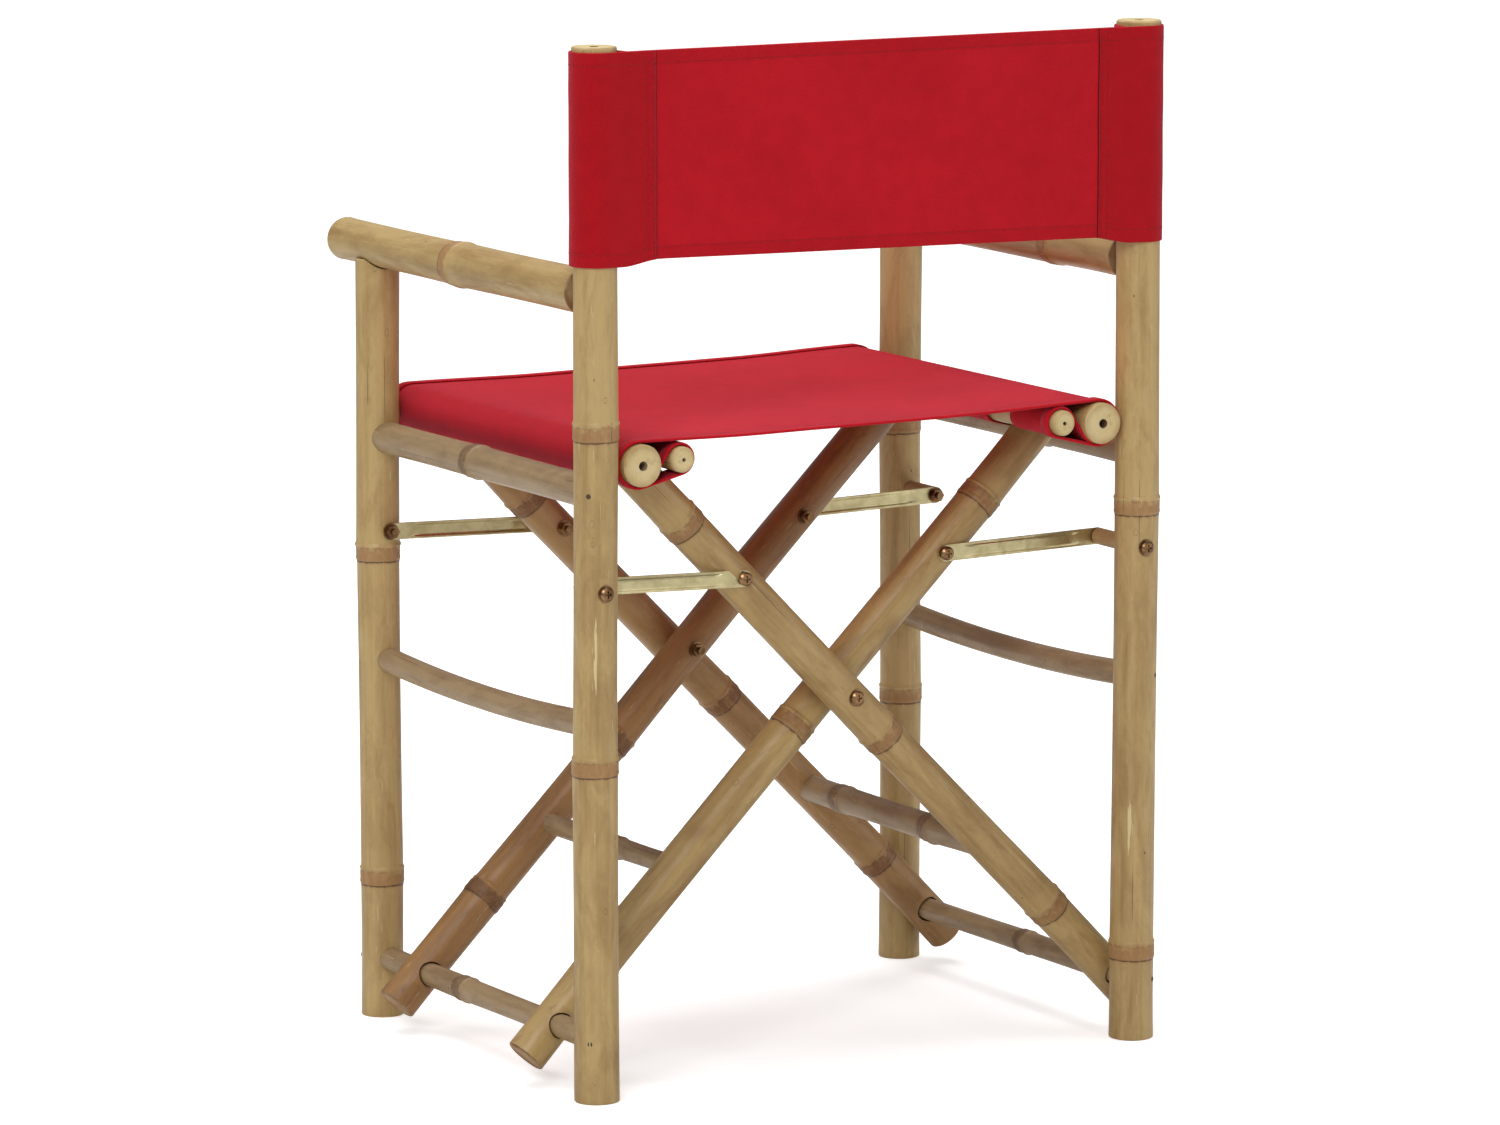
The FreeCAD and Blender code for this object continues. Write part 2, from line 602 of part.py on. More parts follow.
def side_frame(side):
    x = SIDES[side] * half_wide
    rung_tools = []
    nails = []
    rungs = {}
    for kind, height in RUNG_HEIGHTS.items():
        name = f"{side}_{kind}"
        z = plain(height)
        start_y = middle_y - plain(size.rung_length) / 2
        if kind == "middle_rung":
            body = pipe_rung(name)
            place(body, Vector(x, middle_y, z))
        else:
            body = culm(name, size.rung_length, RUNG_DIAMETERS[kind])
            place(body, Vector(x, start_y, z), Vector(0, 1, 0))
        rungs[kind] = body
        for end, sign in ENDS.items():
            post_axis = Vector(x, middle_y + sign * half_deep, z)
            if kind != "middle_rung":
                inner = Vector(x, middle_y + sign * (post_inner - SOCKET_OVERCUT), z)
                rung_tools.append(
                    cylinder(
                        f"{name}_{end}_socket",
                        RUNG_DIAMETERS[kind] / 2 + size.socket_clearance,
                        size.socket_depth + SOCKET_OVERCUT,
                        inner,
                        Vector(0, sign, 0),
                    )
                )
            slant = Vector(-SIDES[side], -sign, 0).normalize()
            nails.append(nail(f"{name}_{end}_nail", post_axis, slant))
    for kind, body in rungs.items():
        cut(body, nails, f"{side}_{kind}")
    group(f"{side}_rung_nails", nails)

    # armrest, with a hidden dowel into each post
    arm_z = plain(size.armrest_height)
    tip_y = middle_y - half_deep - plain(size.armrest_overhang)
    add_size(
        f"{side}_armrest_length",
        plain(size.armrest_overhang) + half_deep + post_inner + plain(size.armrest_lap),
        "tip to the lap on the rear post",
    )
    arm_length = getattr(size, f"{side}_armrest_length")
    arm = culm(f"{side}_armrest", arm_length, size.armrest_diameter, sharp_start=True)
    doc.recompute()
    turned = arm.Tip
    tip_edges = [
        f"Edge{index + 1}"
        for index, edge in enumerate(turned.Shape.Edges)
        if edge.BoundBox.ZMax < FIRST_SOLID_HEIGHT and edge.Curve.TypeId == "Part::GeomCircle"
    ]
    rounded = arm.newObject("PartDesign::Fillet", f"{side}_armrest_tip")
    rounded.Base = (turned, tip_edges)
    drive(rounded, "Radius", size.armrest_tip_round)
    arm.Tip = rounded
    place(arm, Vector(x, tip_y, arm_z), Vector(0, 1, 0))
    half_dowel = plain(size.dowel_length) / 2
    rear_dowel_y = middle_y + post_inner - half_dowel
    front_dowel_z = arm_z - plain(size.armrest_diameter) / 2 - half_dowel
    dowel_places = (
        (Vector(x, rear_dowel_y, arm_z), Vector(0, 1, 0)),
        (Vector(x, middle_y - half_deep, front_dowel_z), Vector(0, 0, 1)),
    )
    dowels = []
    dowel_holes = []
    for index, (start, direction) in enumerate(dowel_places):
        radius = size.dowel_diameter / 2
        dowels.append(
            cylinder(f"{side}_arm_dowel_{index}", radius, size.dowel_length, start, direction)
        )
        dowel_holes.append(
            cylinder(
                f"{side}_arm_dowel_hole_{index}",
                radius + size.socket_clearance,
                size.dowel_length,
                start,
                direction,
            )
        )
    group(f"{side}_arm_dowels", dowels)
    rear_post_space = cylinder(
        f"{side}_rear_post_space",
        size.post_diameter / 2,
        size.rear_post_height,
        Vector(x, middle_y + half_deep, 0),
        Vector(0, 0, 1),
    )
    armrest_space = cylinder(
        f"{side}_armrest_space",
        size.armrest_diameter / 2,
        arm_length,
        Vector(x, tip_y, arm_z),
        Vector(0, 1, 0),
    )
    cut(arm, [rear_post_space] + dowel_holes, f"{side}_armrest")

    # posts, with the link bolts through them
    bolts = []
    washers = []
    nuts = []
    spacer = 0.0 if side == "left" else link_outer - inner_link_outer
    for end, sign in ENDS.items():
        outward = Vector(0, sign, 0)
        inward = outward * -1
        name = f"{side}_{end}_post"
        if end == "rear":
            height = size.rear_post_height
        else:
            lap_top = size.armrest_height - size.armrest_diameter / 2
            height = lap_top + size.front_post_lap
        body = culm(name, height, size.post_diameter, size.pith_diameter,
                    size.pith_diameter if end == "rear" else None)
        place(body, Vector(x, middle_y + sign * half_deep, 0))
        face = Vector(x, middle_y + sign * (half_deep + post_radius), link_bolt_z)
        washer_seat = face + inward * plain(size.bolt_seat_depth)
        under_head = washer_seat + outward * plain(size.washer_thickness)
        nut_face = post_inner - clearance - spacer - plain(size.link_thickness) - clearance
        nut_seat = Vector(x, middle_y + sign * nut_face, link_bolt_z)
        washers.append(washer(f"{name}_head_washer", washer_seat, outward))
        washers.append(washer(f"{name}_nut_washer", nut_seat, inward))
        on_washer = nut_seat + inward * plain(size.washer_thickness)
        nuts.append(nut(f"{name}_nut", on_washer, inward))
        if end == "rear":
            reach = (under_head - on_washer).Length
            reach += plain(size.nut_height) + plain(size.bolt_end_length)
            add_size(f"{side}_post_bolt_length", reach, "under the head")
        length = getattr(size, f"{side}_post_bolt_length")
        bolts.append(bolt(f"{name}_bolt", length, under_head, inward))
        tools = [
            bolt_seat(f"{name}_bolt_seat", face, inward),
            bolt_hole(f"{name}_bolt_hole", face, inward, size.post_diameter + OVERCUT),
            armrest_space if end == "front" else dowel_holes[0],
        ]
        if end == "front":
            tools.append(dowel_holes[1])
        tools += rung_tools + [rungs["middle_rung"]] + nails
        cut(body, tools, name)
        if side == "right":
            base = half_deep - post_radius + SPACER_SADDLE
            start = Vector(x, middle_y + sign * base, link_bolt_z)
            if end == "rear":
                add_size("spacer_length", base - inner_link_outer - clearance, "before its saddle")
            block = cylinder(
                f"right_{end}_spacer_block",
                size.spacer_diameter / 2,
                size.spacer_length,
                start,
                inward,
            )
            post_space = cylinder(
                f"right_{end}_post_space",
                size.post_diameter / 2,
                height,
                Vector(x, middle_y + sign * half_deep, 0),
                Vector(0, 0, 1),
            )
            through = bolt_hole(
                f"right_{end}_spacer_hole", start, inward, size.spacer_length + OVERCUT
            )
            cut(block, [post_space, through], f"right_{end}_link_spacer")
    group(f"{side}_post_bolts", bolts)
    group(f"{side}_post_washers", washers)
    group(f"{side}_post_nuts", nuts)


# ---------------------------------------------------------------- X frames
def leg_frame(pair):
    foot_side, layer, rail_side = LEGS[pair]
    direction = leg_direction(pair)
    across = Vector(direction.z, 0, -direction.x) * SIDES[foot_side]
    toe_x, toe_z = leg_point(pair, -plain(size.leg_toe))
    reach = getattr(size, f"{rail_side}_rail_reach")
    length = size.leg_length + reach - size.leg_top_short
    rail_x, rail_z = rail_centre(rail_side)
    rod_x, rod_z = slip_rod_centre(rail_side)
    rung_x, rung_z = leg_point(pair, plain(size.leg_rung_reach))
    bolt_x, bolt_z = leg_point(pair, link_on_leg)
    rail_start = middle_y - half_deep - plain(size.rail_past_front_post)

    # rail and slip rod
    if pair == "outer":
        rail_length = plain(size.rail_past_front_post) + 2 * half_deep
        add_size("rail_length", rail_length + plain(size.rail_past_rear_post), "rails and rods")
    rail = culm(f"{rail_side}_seat_rail", size.rail_length, size.seat_rail_diameter,
                size.pith_diameter, size.pith_diameter)
    place(rail, Vector(rail_x, rail_start, rail_z), Vector(0, 1, 0))
    rod = culm(f"{rail_side}_slip_rod", size.rail_length, size.slip_rod_diameter,
               size.thin_pith_diameter, size.thin_pith_diameter)
    keep(place(rod, Vector(rod_x, rail_start, rod_z), Vector(0, 1, 0)), f"{rail_side}_slip_rod")
    rail_space = cylinder(
        f"{rail_side}_rail_space",
        size.seat_rail_diameter / 2,
        size.rail_length,
        rail.Placement.Base,
        Vector(0, 1, 0),
    )
    rod_space = cylinder(
        f"{rail_side}_rod_space",
        size.slip_rod_diameter / 2 + size.slip_rod_notch_clearance,
        size.rail_length,
        rod.Placement.Base,
        Vector(0, 1, 0),
    )

    # screws through the rail into each leg's end
    screws = []
    head_radius = size.rail_screw_head_diameter / 2
    shank_radius = size.rail_screw_diameter / 2
    for end, sign in ENDS.items():
        surface = plain(size.seat_rail_diameter) / 2 - plain(size.rail_screw_sink)
        start = Vector(rail_x, middle_y + sign * layer, rail_z) + direction * surface
        outline = [
            (0, 0),
            (head_radius, 0),
            (shank_radius, size.rail_screw_head_height),
            (shank_radius, size.rail_screw_length - SCREW_POINT),
            (0, size.rail_screw_length),
        ]
        screw = revolved(f"{pair}_{end}_rail_screw", outline)
        screws.append(place(screw, start, direction * -1))
    group(f"{pair}_rail_screws", screws)
    sinks = [
        cylinder(
            f"{pair}_{end}_screw_sink",
            head_radius,
            size.rail_screw_sink + OVERCUT,
            screw.Placement.Base,
            direction,
        )
        for end, screw in zip(ENDS, screws)
    ]
    cut(rail, screws + sinks, f"{rail_side}_seat_rail")

    # rung between the legs
    rung_diameter = getattr(size, f"{pair}_leg_rung_diameter")
    rung_length = getattr(size, f"{pair}_leg_rung_length")
    rung = culm(f"{pair}_leg_rung", rung_length, rung_diameter)
    rung_start = Vector(rung_x, middle_y - plain(rung_length) / 2, rung_z)
    keep(place(rung, rung_start, Vector(0, 1, 0)), f"{pair}_leg_rung")
    rung_space = cylinder(
        f"{pair}_leg_rung_space",
        rung_diameter / 2 + size.socket_clearance,
        rung_length,
        rung_start,
        Vector(0, 1, 0),
    )

    studs = []
    washers = []
    nuts = []
    for end, sign in ENDS.items():
        outward = Vector(0, sign, 0)
        inward = outward * -1
        name = f"{pair}_{end}_leg"
        y = middle_y + sign * layer
        body = culm(name, length, size.leg_diameter, size.pith_diameter)
        place(body, Vector(toe_x, y, toe_z), direction)
        outer_face = y + sign * leg_radius
        inner_face = y - sign * leg_radius
        foot_x, foot_z = leg_point(pair, 0)
        foot_hole = cylinder(
            f"{name}_foot_hole",
            size.foot_rung_diameter / 2 + size.foot_hole_clearance,
            size.leg_diameter + 2 * OVERCUT,
            Vector(foot_x, outer_face + sign * OVERCUT, foot_z),
            inward,
        )
        crossing = Vector(0, outer_face, plain(size.crossing_height))
        crossing_hole = bolt_hole(
            f"{name}_crossing_hole", crossing, inward, size.leg_diameter + OVERCUT
        )
        stud_start = Vector(bolt_x, outer_face, bolt_z)
        stud_hole = bolt_hole(
            f"{name}_stud_hole", stud_start, inward, size.leg_diameter + OVERCUT
        )
        nut_seat_point = Vector(bolt_x, inner_face, bolt_z)
        nut_seat = bolt_seat(f"{name}_nut_seat", nut_seat_point, outward)
        visible_face = outer_face if pair == "outer" else inner_face
        seat_direction = inward if pair == "outer" else outward
        crossing_seat = bolt_seat(
            f"{name}_crossing_seat",
            Vector(0, visible_face, plain(size.crossing_height)),
            seat_direction,
        )
        tools = [foot_hole, crossing_hole, stud_hole, nut_seat, crossing_seat]
        cut(body, tools + [rail_space, rod_space, rung_space] + screws, name)

        washer_seat = nut_seat_point + outward * plain(size.bolt_seat_depth)
        washers.append(washer(f"{name}_stud_washer", washer_seat, inward))
        on_washer = washer_seat + inward * plain(size.washer_thickness)
        nuts.append(nut(f"{name}_stud_nut", on_washer, inward))
        stud_length = size.leg_diameter - size.bolt_seat_depth + size.washer_thickness
        stud_length = stud_length + size.nut_height + size.bolt_end_length
        studs.append(
            cylinder(
                f"{name}_stud", size.bolt_diameter / 2, stud_length, stud_start, inward
            )
        )
    group(f"{pair}_link_bolt_shanks", studs)
    group(f"{pair}_link_washers", washers)
    group(f"{pair}_link_nuts", nuts)


def crossing_bolts():
    """The bolts that the two X frames turn on. They belong to the inner legs."""
    bolts = []
    washers = []
    nuts = []
    z = plain(size.crossing_height)
    for end, sign in ENDS.items():
        outward = Vector(0, sign, 0)
        inward = outward * -1
        seat = outer_leg_y + leg_radius - plain(size.bolt_seat_depth)
        washer_seat = Vector(0, middle_y + sign * (seat + clearance), z)
        under_head = washer_seat + outward * plain(size.washer_thickness)
        nut_seat = inner_leg_y - leg_radius + plain(size.bolt_seat_depth)
        nut_point = Vector(0, middle_y + sign * nut_seat, z)
        between = Vector(0, middle_y + sign * (inner_leg_y + leg_radius), z)
        washers.append(washer(f"{end}_crossing_head_washer", washer_seat, outward))
        washers.append(washer(f"{end}_crossing_nut_washer", nut_point, inward))
        on_washer = nut_point + inward * plain(size.washer_thickness)
        nuts.append(nut(f"{end}_crossing_nut", on_washer, inward))
        if end == "rear":
            reach = (under_head - on_washer).Length
            reach += plain(size.nut_height) + plain(size.bolt_end_length)
            add_size("crossing_bolt_length", reach, "under the head")
        bolts.append(bolt(f"{end}_crossing_bolt", size.crossing_bolt_length, under_head, inward))
        ring_outline = [
            (size.bolt_diameter / 2 + size.bolt_clearance, 0),
            (size.washer_diameter / 2, 0),
            (size.washer_diameter / 2, size.leg_gap - size.link_clearance),
            (size.bolt_diameter / 2 + size.bolt_clearance, size.leg_gap - size.link_clearance),
        ]
        washers.append(place(revolved(f"{end}_crossing_spacer", ring_outline), between, outward))
    group("crossing_bolts", bolts)
    group("crossing_washers", washers)
    group("crossing_nuts", nuts)


# ---------------------------------------------------------------- links
def rounded_bar(sketch, length, half_width):
    """A bar with round ends about two centres on the sketch's X axis."""
    long = length.number
    half = half_width.number
    sketch.addGeometry(Part.LineSegment(Vector(0, half, 0), Vector(long, half, 0)))
    sketch.addGeometry(Part.LineSegment(Vector(long, -half, 0), Vector(0, -half, 0)))
    right = Part.Circle(Vector(long, 0, 0), Vector(0, 0, 1), half)
    left = Part.Circle(Vector(0, 0, 0), Vector(0, 0, 1), half)
    sketch.addGeometry(Part.ArcOfCircle(right, -math.pi / 2, math.pi / 2))
    sketch.addGeometry(Part.ArcOfCircle(left, math.pi / 2, math.pi * 1.5))
    for constraint in (
        ("Tangent", 0, 2, 2, 2),
        ("Tangent", 2, 1, 1, 1),
        ("Tangent", 1, 2, 3, 2),
        ("Tangent", 3, 1, 0, 1),
        ("Coincident", 3, 3, -1, 1),
        ("PointOnObject", 2, 3, -1),
    ):
        sketch.addConstraint(Sketcher.Constraint(*constraint))
    reach = sketch.addConstraint(Sketcher.Constraint("DistanceX", -1, 1, 2, 3, long))
    sketch.setExpression(f"Constraints[{reach}]", length.expression)
    width = sketch.addConstraint(Sketcher.Constraint("Radius", 3, half))
    sketch.setExpression(f"Constraints[{width}]", half_width.expression)


def link_bar(name):
    """A pressed steel link from the post's bolt at its own origin, along +X.
    Its outer face is at its own Z = 0, and its rib stands out below."""
    body = doc.addObject("PartDesign::Body", name + "_bar")
    flat = new_sketch(body, name + "_flat", "XY_Plane")
    rounded_bar(flat, size.link_length, size.link_width / 2)
    bar = body.newObject("PartDesign::Pad", name + "_pad")
    bar.Profile = flat
    drive(bar, "Length", size.link_thickness)
    bar.Reversed = True
    rib_sketch = new_sketch(body, name + "_rib_outline", "XY_Plane")
    near = size.link_flat_end
    far = size.link_length - size.link_flat_end
    half = size.link_rib_width / 2
    corners = (
        Vector(near.number, half.number, 0),
        Vector(far.number, half.number, 0),
        Vector(far.number, -half.number, 0),
        Vector(near.number, -half.number, 0),
    )
    for index in range(4):
        rib_sketch.addGeometry(Part.LineSegment(corners[index], corners[(index + 1) % 4]))
    for index in range(4):
        rib_sketch.addConstraint(
            Sketcher.Constraint("Coincident", index, 2, (index + 1) % 4, 1)
        )
    for kind, edge in (("Horizontal", 0), ("Vertical", 1), ("Horizontal", 2)):
        rib_sketch.addConstraint(Sketcher.Constraint(kind, edge))
    rib_sketch.addConstraint(Sketcher.Constraint("Symmetric", 0, 1, 3, 1, -1))
    for kind, first, second, length in (
        ("DistanceX", (-1, 1), (0, 1), near),
        ("DistanceX", (-1, 1), (0, 2), far),
        ("DistanceY", (3, 1), (0, 1), size.link_rib_width),
    ):
        index = rib_sketch.addConstraint(
            Sketcher.Constraint(kind, *first, *second, length.number)
        )
        rib_sketch.setExpression(f"Constraints[{index}]", length.expression)
    rib = body.newObject("PartDesign::Pad", name + "_rib")
    rib.Profile = rib_sketch
    drive(rib, "Length", size.link_thickness + size.link_rib_height)
    rib.Reversed = True
    groove = body.newObject("PartDesign::Pocket", name + "_groove")
    groove.Profile = rib_sketch
    drive(groove, "Length", size.link_rib_height)
    body.Tip = groove
    doc.recompute()
    if not groove.Shape.Volume < rib.Shape.Volume - 1:
        raise RuntimeError(name + ": the groove cut nothing")
    return body


def links():
    """Four links, each with the head of the bolt that joins it to its leg."""
    z_bolt = Vector(0, 0, link_bolt_z)
    for side, pair in (("left", "outer"), ("right", "inner")):
        post_x = SIDES[side] * half_wide
        leg_x, leg_z = leg_point(pair, link_on_leg)
        outer_face = link_outer if side == "left" else inner_link_outer
        for end, sign in ENDS.items():
            outward = Vector(0, sign, 0)
            start = Vector(post_x, middle_y + sign * outer_face, 0) + z_bolt
            finish = Vector(leg_x, start.y, leg_z)
            along = (finish - start).normalize()
            name = f"{side}_{end}_link"
            bar = link_bar(name)
            bar.Placement = Placement(start, Rotation(along, Vector(), outward, "XZY"))
            holes = [
                cylinder(
                    f"{name}_post_hole",
                    size.bolt_diameter / 2 + size.bolt_clearance,
                    size.link_thickness + 2 * OVERCUT,
                    start + outward * OVERCUT,
                    outward * -1,
                ),
                cylinder(
                    f"{name}_leg_hole",
                    size.bolt_diameter / 2,
                    size.link_thickness + 2 * OVERCUT,
                    finish + outward * OVERCUT,
                    outward * -1,
                ),
            ]
            cut(bar, holes, name)
            keep(bolt(f"{name}_bolt", size.link_thickness, finish, outward * -1), f"{name}_bolt")


# ---------------------------------------------------------------- cloth
def point_at(centre, radius, degrees):
    """A point of a circle in the XZ plane."""
    turn = math.radians(degrees)
    return Vector(
        centre.x + radius * math.cos(turn), centre.y, centre.z + radius * math.sin(turn)
    )


def seat_path(offset):
    """The seat cloth's run at an offset from its inner face: from inside the left
    slip rod, under the rod and the rail, up round the rail, across the seat and
    down the same way on the right. Returned as edges in the XZ plane."""
    rail_radius = plain(size.seat_rail_diameter) / 2 + plain(size.cloth_slack) + offset
    rod_radius = plain(size.slip_rod_diameter) / 2 + plain(size.cloth_slack) + offset
    rails = {side: Vector(rail_centre(side)[0], 0, rail_centre(side)[1]) for side in SIDES}
    rods = {
        side: Vector(slip_rod_centre(side)[0], 0, slip_rod_centre(side)[1]) for side in SIDES
    }
    across = rails["left"] - rails["right"]
    tilt = math.degrees(math.atan2(across.z, across.x))
    edges = []
    tops = {}
    for side, way in SIDES.items():
        rail, rod = rails[side], rods[side]
        gap = rod - rail
        heading = math.degrees(math.atan2(gap.z, gap.x))
        lean = math.degrees(math.asin((rail_radius - rod_radius) / gap.Length))
        under = heading + way * (90 - lean)
        tops[side] = point_at(rail, rail_radius, 90 + tilt)
        outside = tilt if side == "left" else 180 + tilt
        edges.append(
            Part.Arc(
                tops[side], point_at(rail, rail_radius, outside), point_at(rail, rail_radius, under)
            ).toShape()
        )
        edges.append(
            Part.LineSegment(
                point_at(rail, rail_radius, under), point_at(rod, rod_radius, under)
            ).toShape()
        )
        inboard = 180 if side == "left" else 0
        last = 90 + way * SEAM_TURN
        edges.append(
            Part.Arc(
                point_at(rod, rod_radius, under),
                point_at(rod, rod_radius, inboard),
                point_at(rod, rod_radius, last),
            ).toShape()
        )
    edges.append(Part.LineSegment(tops["left"], tops["right"]).toShape())
    ends = [edges[2].Vertexes[-1].Point, edges[5].Vertexes[-1].Point]
    return edges, ends


def seat_cover():
    inner_edges, inner_ends = seat_path(0.0)
    outer_edges, outer_ends = seat_path(plain(size.cloth_thickness))
    closing = [
        Part.LineSegment(inner, outer).toShape() for inner, outer in zip(inner_ends, outer_ends)
    ]
    outline = Part.Wire(Part.__sortEdges__(inner_edges + outer_edges + closing))
    front = middle_y - half_deep - plain(size.rail_past_front_post)
    front += plain(size.seat_front_margin)
    rear = middle_y + half_deep + plain(size.rail_past_rear_post)
    rear -= plain(size.seat_rear_margin)
    cloth = Part.Face(outline).extrude(Vector(0, rear - front, 0))
    margin = plain(size.seat_notch_margin)
    thickness = plain(size.cloth_thickness) + plain(size.cloth_slack)
    for pair, (foot_side, layer, rail_side) in LEGS.items():
        way = SIDES[rail_side]
        rail_x, rail_z = rail_centre(rail_side)
        rod_x, rod_z = slip_rod_centre(rail_side)
        rod_reach = plain(size.slip_rod_diameter) / 2 + thickness + OVERCUT
        rail_radius = plain(size.seat_rail_diameter) / 2
        half = leg_radius + margin
        for sign in ENDS.values():
            y = middle_y + sign * layer - front
            wide = abs(rail_x - rod_x) + rod_reach
            tall = rail_radius * 2
            box = Part.makeBox(wide, 2 * half, tall)
            left_edge = rod_x - rod_reach if way > 0 else rail_x
            box.translate(Vector(left_edge, y - half, rail_z - rail_radius - 2 * OVERCUT))
            start = Vector(0, y, plain(size.crossing_height))
            run = Vector(rail_x, y, rail_z) - start
            leg_space = Part.makeCylinder(half, run.Length, start, run)
            cloth = cloth.cut(box).cut(leg_space)
    feature = doc.addObject("Part::Feature", "seat_cover")
    feature.Shape = cloth
    feature.Placement = Placement(Vector(0, front, 0), Rotation())
    keep(feature, "seat_cover")


def teardrop(centre_x, way, radius, seam_y, seam_half):
    """A sleeve's section: round the post and drawn in to its seam."""
    centre = Vector(centre_x, middle_y + half_deep, 0)
    seam_x = centre_x - way * plain(size.back_seam_inset)
    ends = []
    for sign in (1, -1):
        seam = Vector(seam_x, seam_y + sign * seam_half, 0)
        toward = seam - centre
        heading = math.atan2(toward.y, toward.x)
        swing = math.acos(radius / toward.Length)
        angle = heading - way * sign * swing
        touch = centre + Vector(math.cos(angle), math.sin(angle), 0) * radius
        ends.append((seam, touch))
    far = centre + Vector(way * radius, 0, 0)
    wire = Part.Wire(
        [
            Part.LineSegment(ends[0][0], ends[0][1]).toShape(),
            Part.Arc(ends[0][1], far, ends[1][1]).toShape(),
            Part.LineSegment(ends[1][1], ends[1][0]).toShape(),
            Part.LineSegment(ends[1][0], ends[0][0]).toShape(),
        ]
    )
    return Part.Face(wire)


def back_cover():
    thickness = plain(size.cloth_thickness)
    inner_radius = post_radius + plain(size.cloth_slack)
    panel_y = middle_y + half_deep + plain(size.back_panel_behind)
    height = plain(size.back_cover_height)
    bottom = plain(size.rear_post_height) - plain(size.back_top_drop) - height
    seam_x = half_wide - plain(size.back_seam_inset)
    cloth = Part.makeBox(2 * seam_x, thickness, height)
    cloth.translate(Vector(-seam_x, panel_y - thickness / 2, 0))
    for side, way in SIDES.items():
        outer = teardrop(way * half_wide, way, inner_radius + thickness, panel_y, thickness / 2)
        hollow = teardrop(way * half_wide, way, inner_radius, panel_y, SLEEVE_OPENING)
        hollow_tube = hollow.extrude(Vector(0, 0, height))
        cloth = cloth.cut(hollow_tube)
        cloth = cloth.fuse(outer.extrude(Vector(0, 0, height)).cut(hollow_tube))
    feature = doc.addObject("Part::Feature", "back_cover")
    feature.Shape = cloth.removeSplitter()
    feature.Placement = Placement(Vector(0, 0, bottom), Rotation())
    keep(feature, "back_cover")


# ---------------------------------------------------------------- assembly
for frame_side in SIDES:
    side_frame(frame_side)
for leg_pair in LEGS:
    leg_frame(leg_pair)
crossing_bolts()
links()
seat_cover()
back_cover()
doc.recompute()

for obj in doc.Objects:
    if "Invalid" in obj.State or "Error" in obj.State:
        raise RuntimeError(f"{obj.Name} failed: {obj.State}")
for label, obj in subparts.items():
    if obj.Shape.isNull() or not obj.Shape.isValid() or not obj.Shape.Solids:
        raise RuntimeError(f"{label} has no valid solid")

os.makedirs("parts", exist_ok=True)
for label, obj in subparts.items():
    obj.Shape.exportStep(f"parts/{label}.step")
print(len(subparts), "sub-parts")
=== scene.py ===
import json
import math
import random

import bpy
import numpy as np
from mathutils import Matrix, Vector, noise


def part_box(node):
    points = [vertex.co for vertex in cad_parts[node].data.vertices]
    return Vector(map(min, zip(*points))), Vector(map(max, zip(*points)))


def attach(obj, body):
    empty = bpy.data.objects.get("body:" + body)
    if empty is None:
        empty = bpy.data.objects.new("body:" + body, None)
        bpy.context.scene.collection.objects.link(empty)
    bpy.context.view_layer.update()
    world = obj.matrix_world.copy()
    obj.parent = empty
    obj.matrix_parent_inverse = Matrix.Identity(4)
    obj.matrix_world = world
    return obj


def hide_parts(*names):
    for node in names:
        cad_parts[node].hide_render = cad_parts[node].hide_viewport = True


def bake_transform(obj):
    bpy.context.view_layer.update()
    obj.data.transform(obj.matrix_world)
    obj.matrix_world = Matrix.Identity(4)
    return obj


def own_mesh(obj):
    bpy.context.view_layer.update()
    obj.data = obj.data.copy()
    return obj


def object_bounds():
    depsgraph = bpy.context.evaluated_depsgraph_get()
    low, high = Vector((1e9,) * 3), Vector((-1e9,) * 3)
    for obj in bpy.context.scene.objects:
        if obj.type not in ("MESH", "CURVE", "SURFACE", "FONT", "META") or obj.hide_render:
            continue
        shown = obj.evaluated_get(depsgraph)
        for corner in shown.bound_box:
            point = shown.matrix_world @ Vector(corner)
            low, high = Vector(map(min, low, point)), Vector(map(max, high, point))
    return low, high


# Folding director chair of bamboo culms with a red canvas seat and back.
# Metres, +Z up, the sitter faces -Y. Each culm, cloth and link is built here
# round the node that it stands for, from that node's box and the joints.

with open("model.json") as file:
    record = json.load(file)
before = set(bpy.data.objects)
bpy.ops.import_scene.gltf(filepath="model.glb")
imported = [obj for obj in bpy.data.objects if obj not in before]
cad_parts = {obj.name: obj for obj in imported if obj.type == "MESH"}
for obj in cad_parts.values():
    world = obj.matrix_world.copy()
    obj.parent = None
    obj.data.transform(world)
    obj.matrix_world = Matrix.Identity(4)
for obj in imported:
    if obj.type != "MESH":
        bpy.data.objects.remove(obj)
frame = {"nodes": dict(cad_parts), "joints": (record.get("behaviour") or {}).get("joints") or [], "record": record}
cad_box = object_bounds()

MM = 0.001
X_AXIS = Vector((1, 0, 0))
Y_AXIS = Vector((0, 1, 0))
Z_AXIS = Vector((0, 0, 1))
SIDES = {"left": 1, "right": -1}
ENDS = {"rear": 1, "front": -1}
LEG_PAIRS = {"outer": ("right_foot", "left"), "inner": ("fold", "right")}

joint_at = {joint["name"]: Vector(joint["pos_m"]) for joint in frame["joints"]}
bodies = frame["record"]["behaviour"]["bodies"]
body_of_node = {node: body for body, nodes in bodies.items() for node in nodes}


def centre_of(node):
    low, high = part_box(node)
    return (low + high) / 2


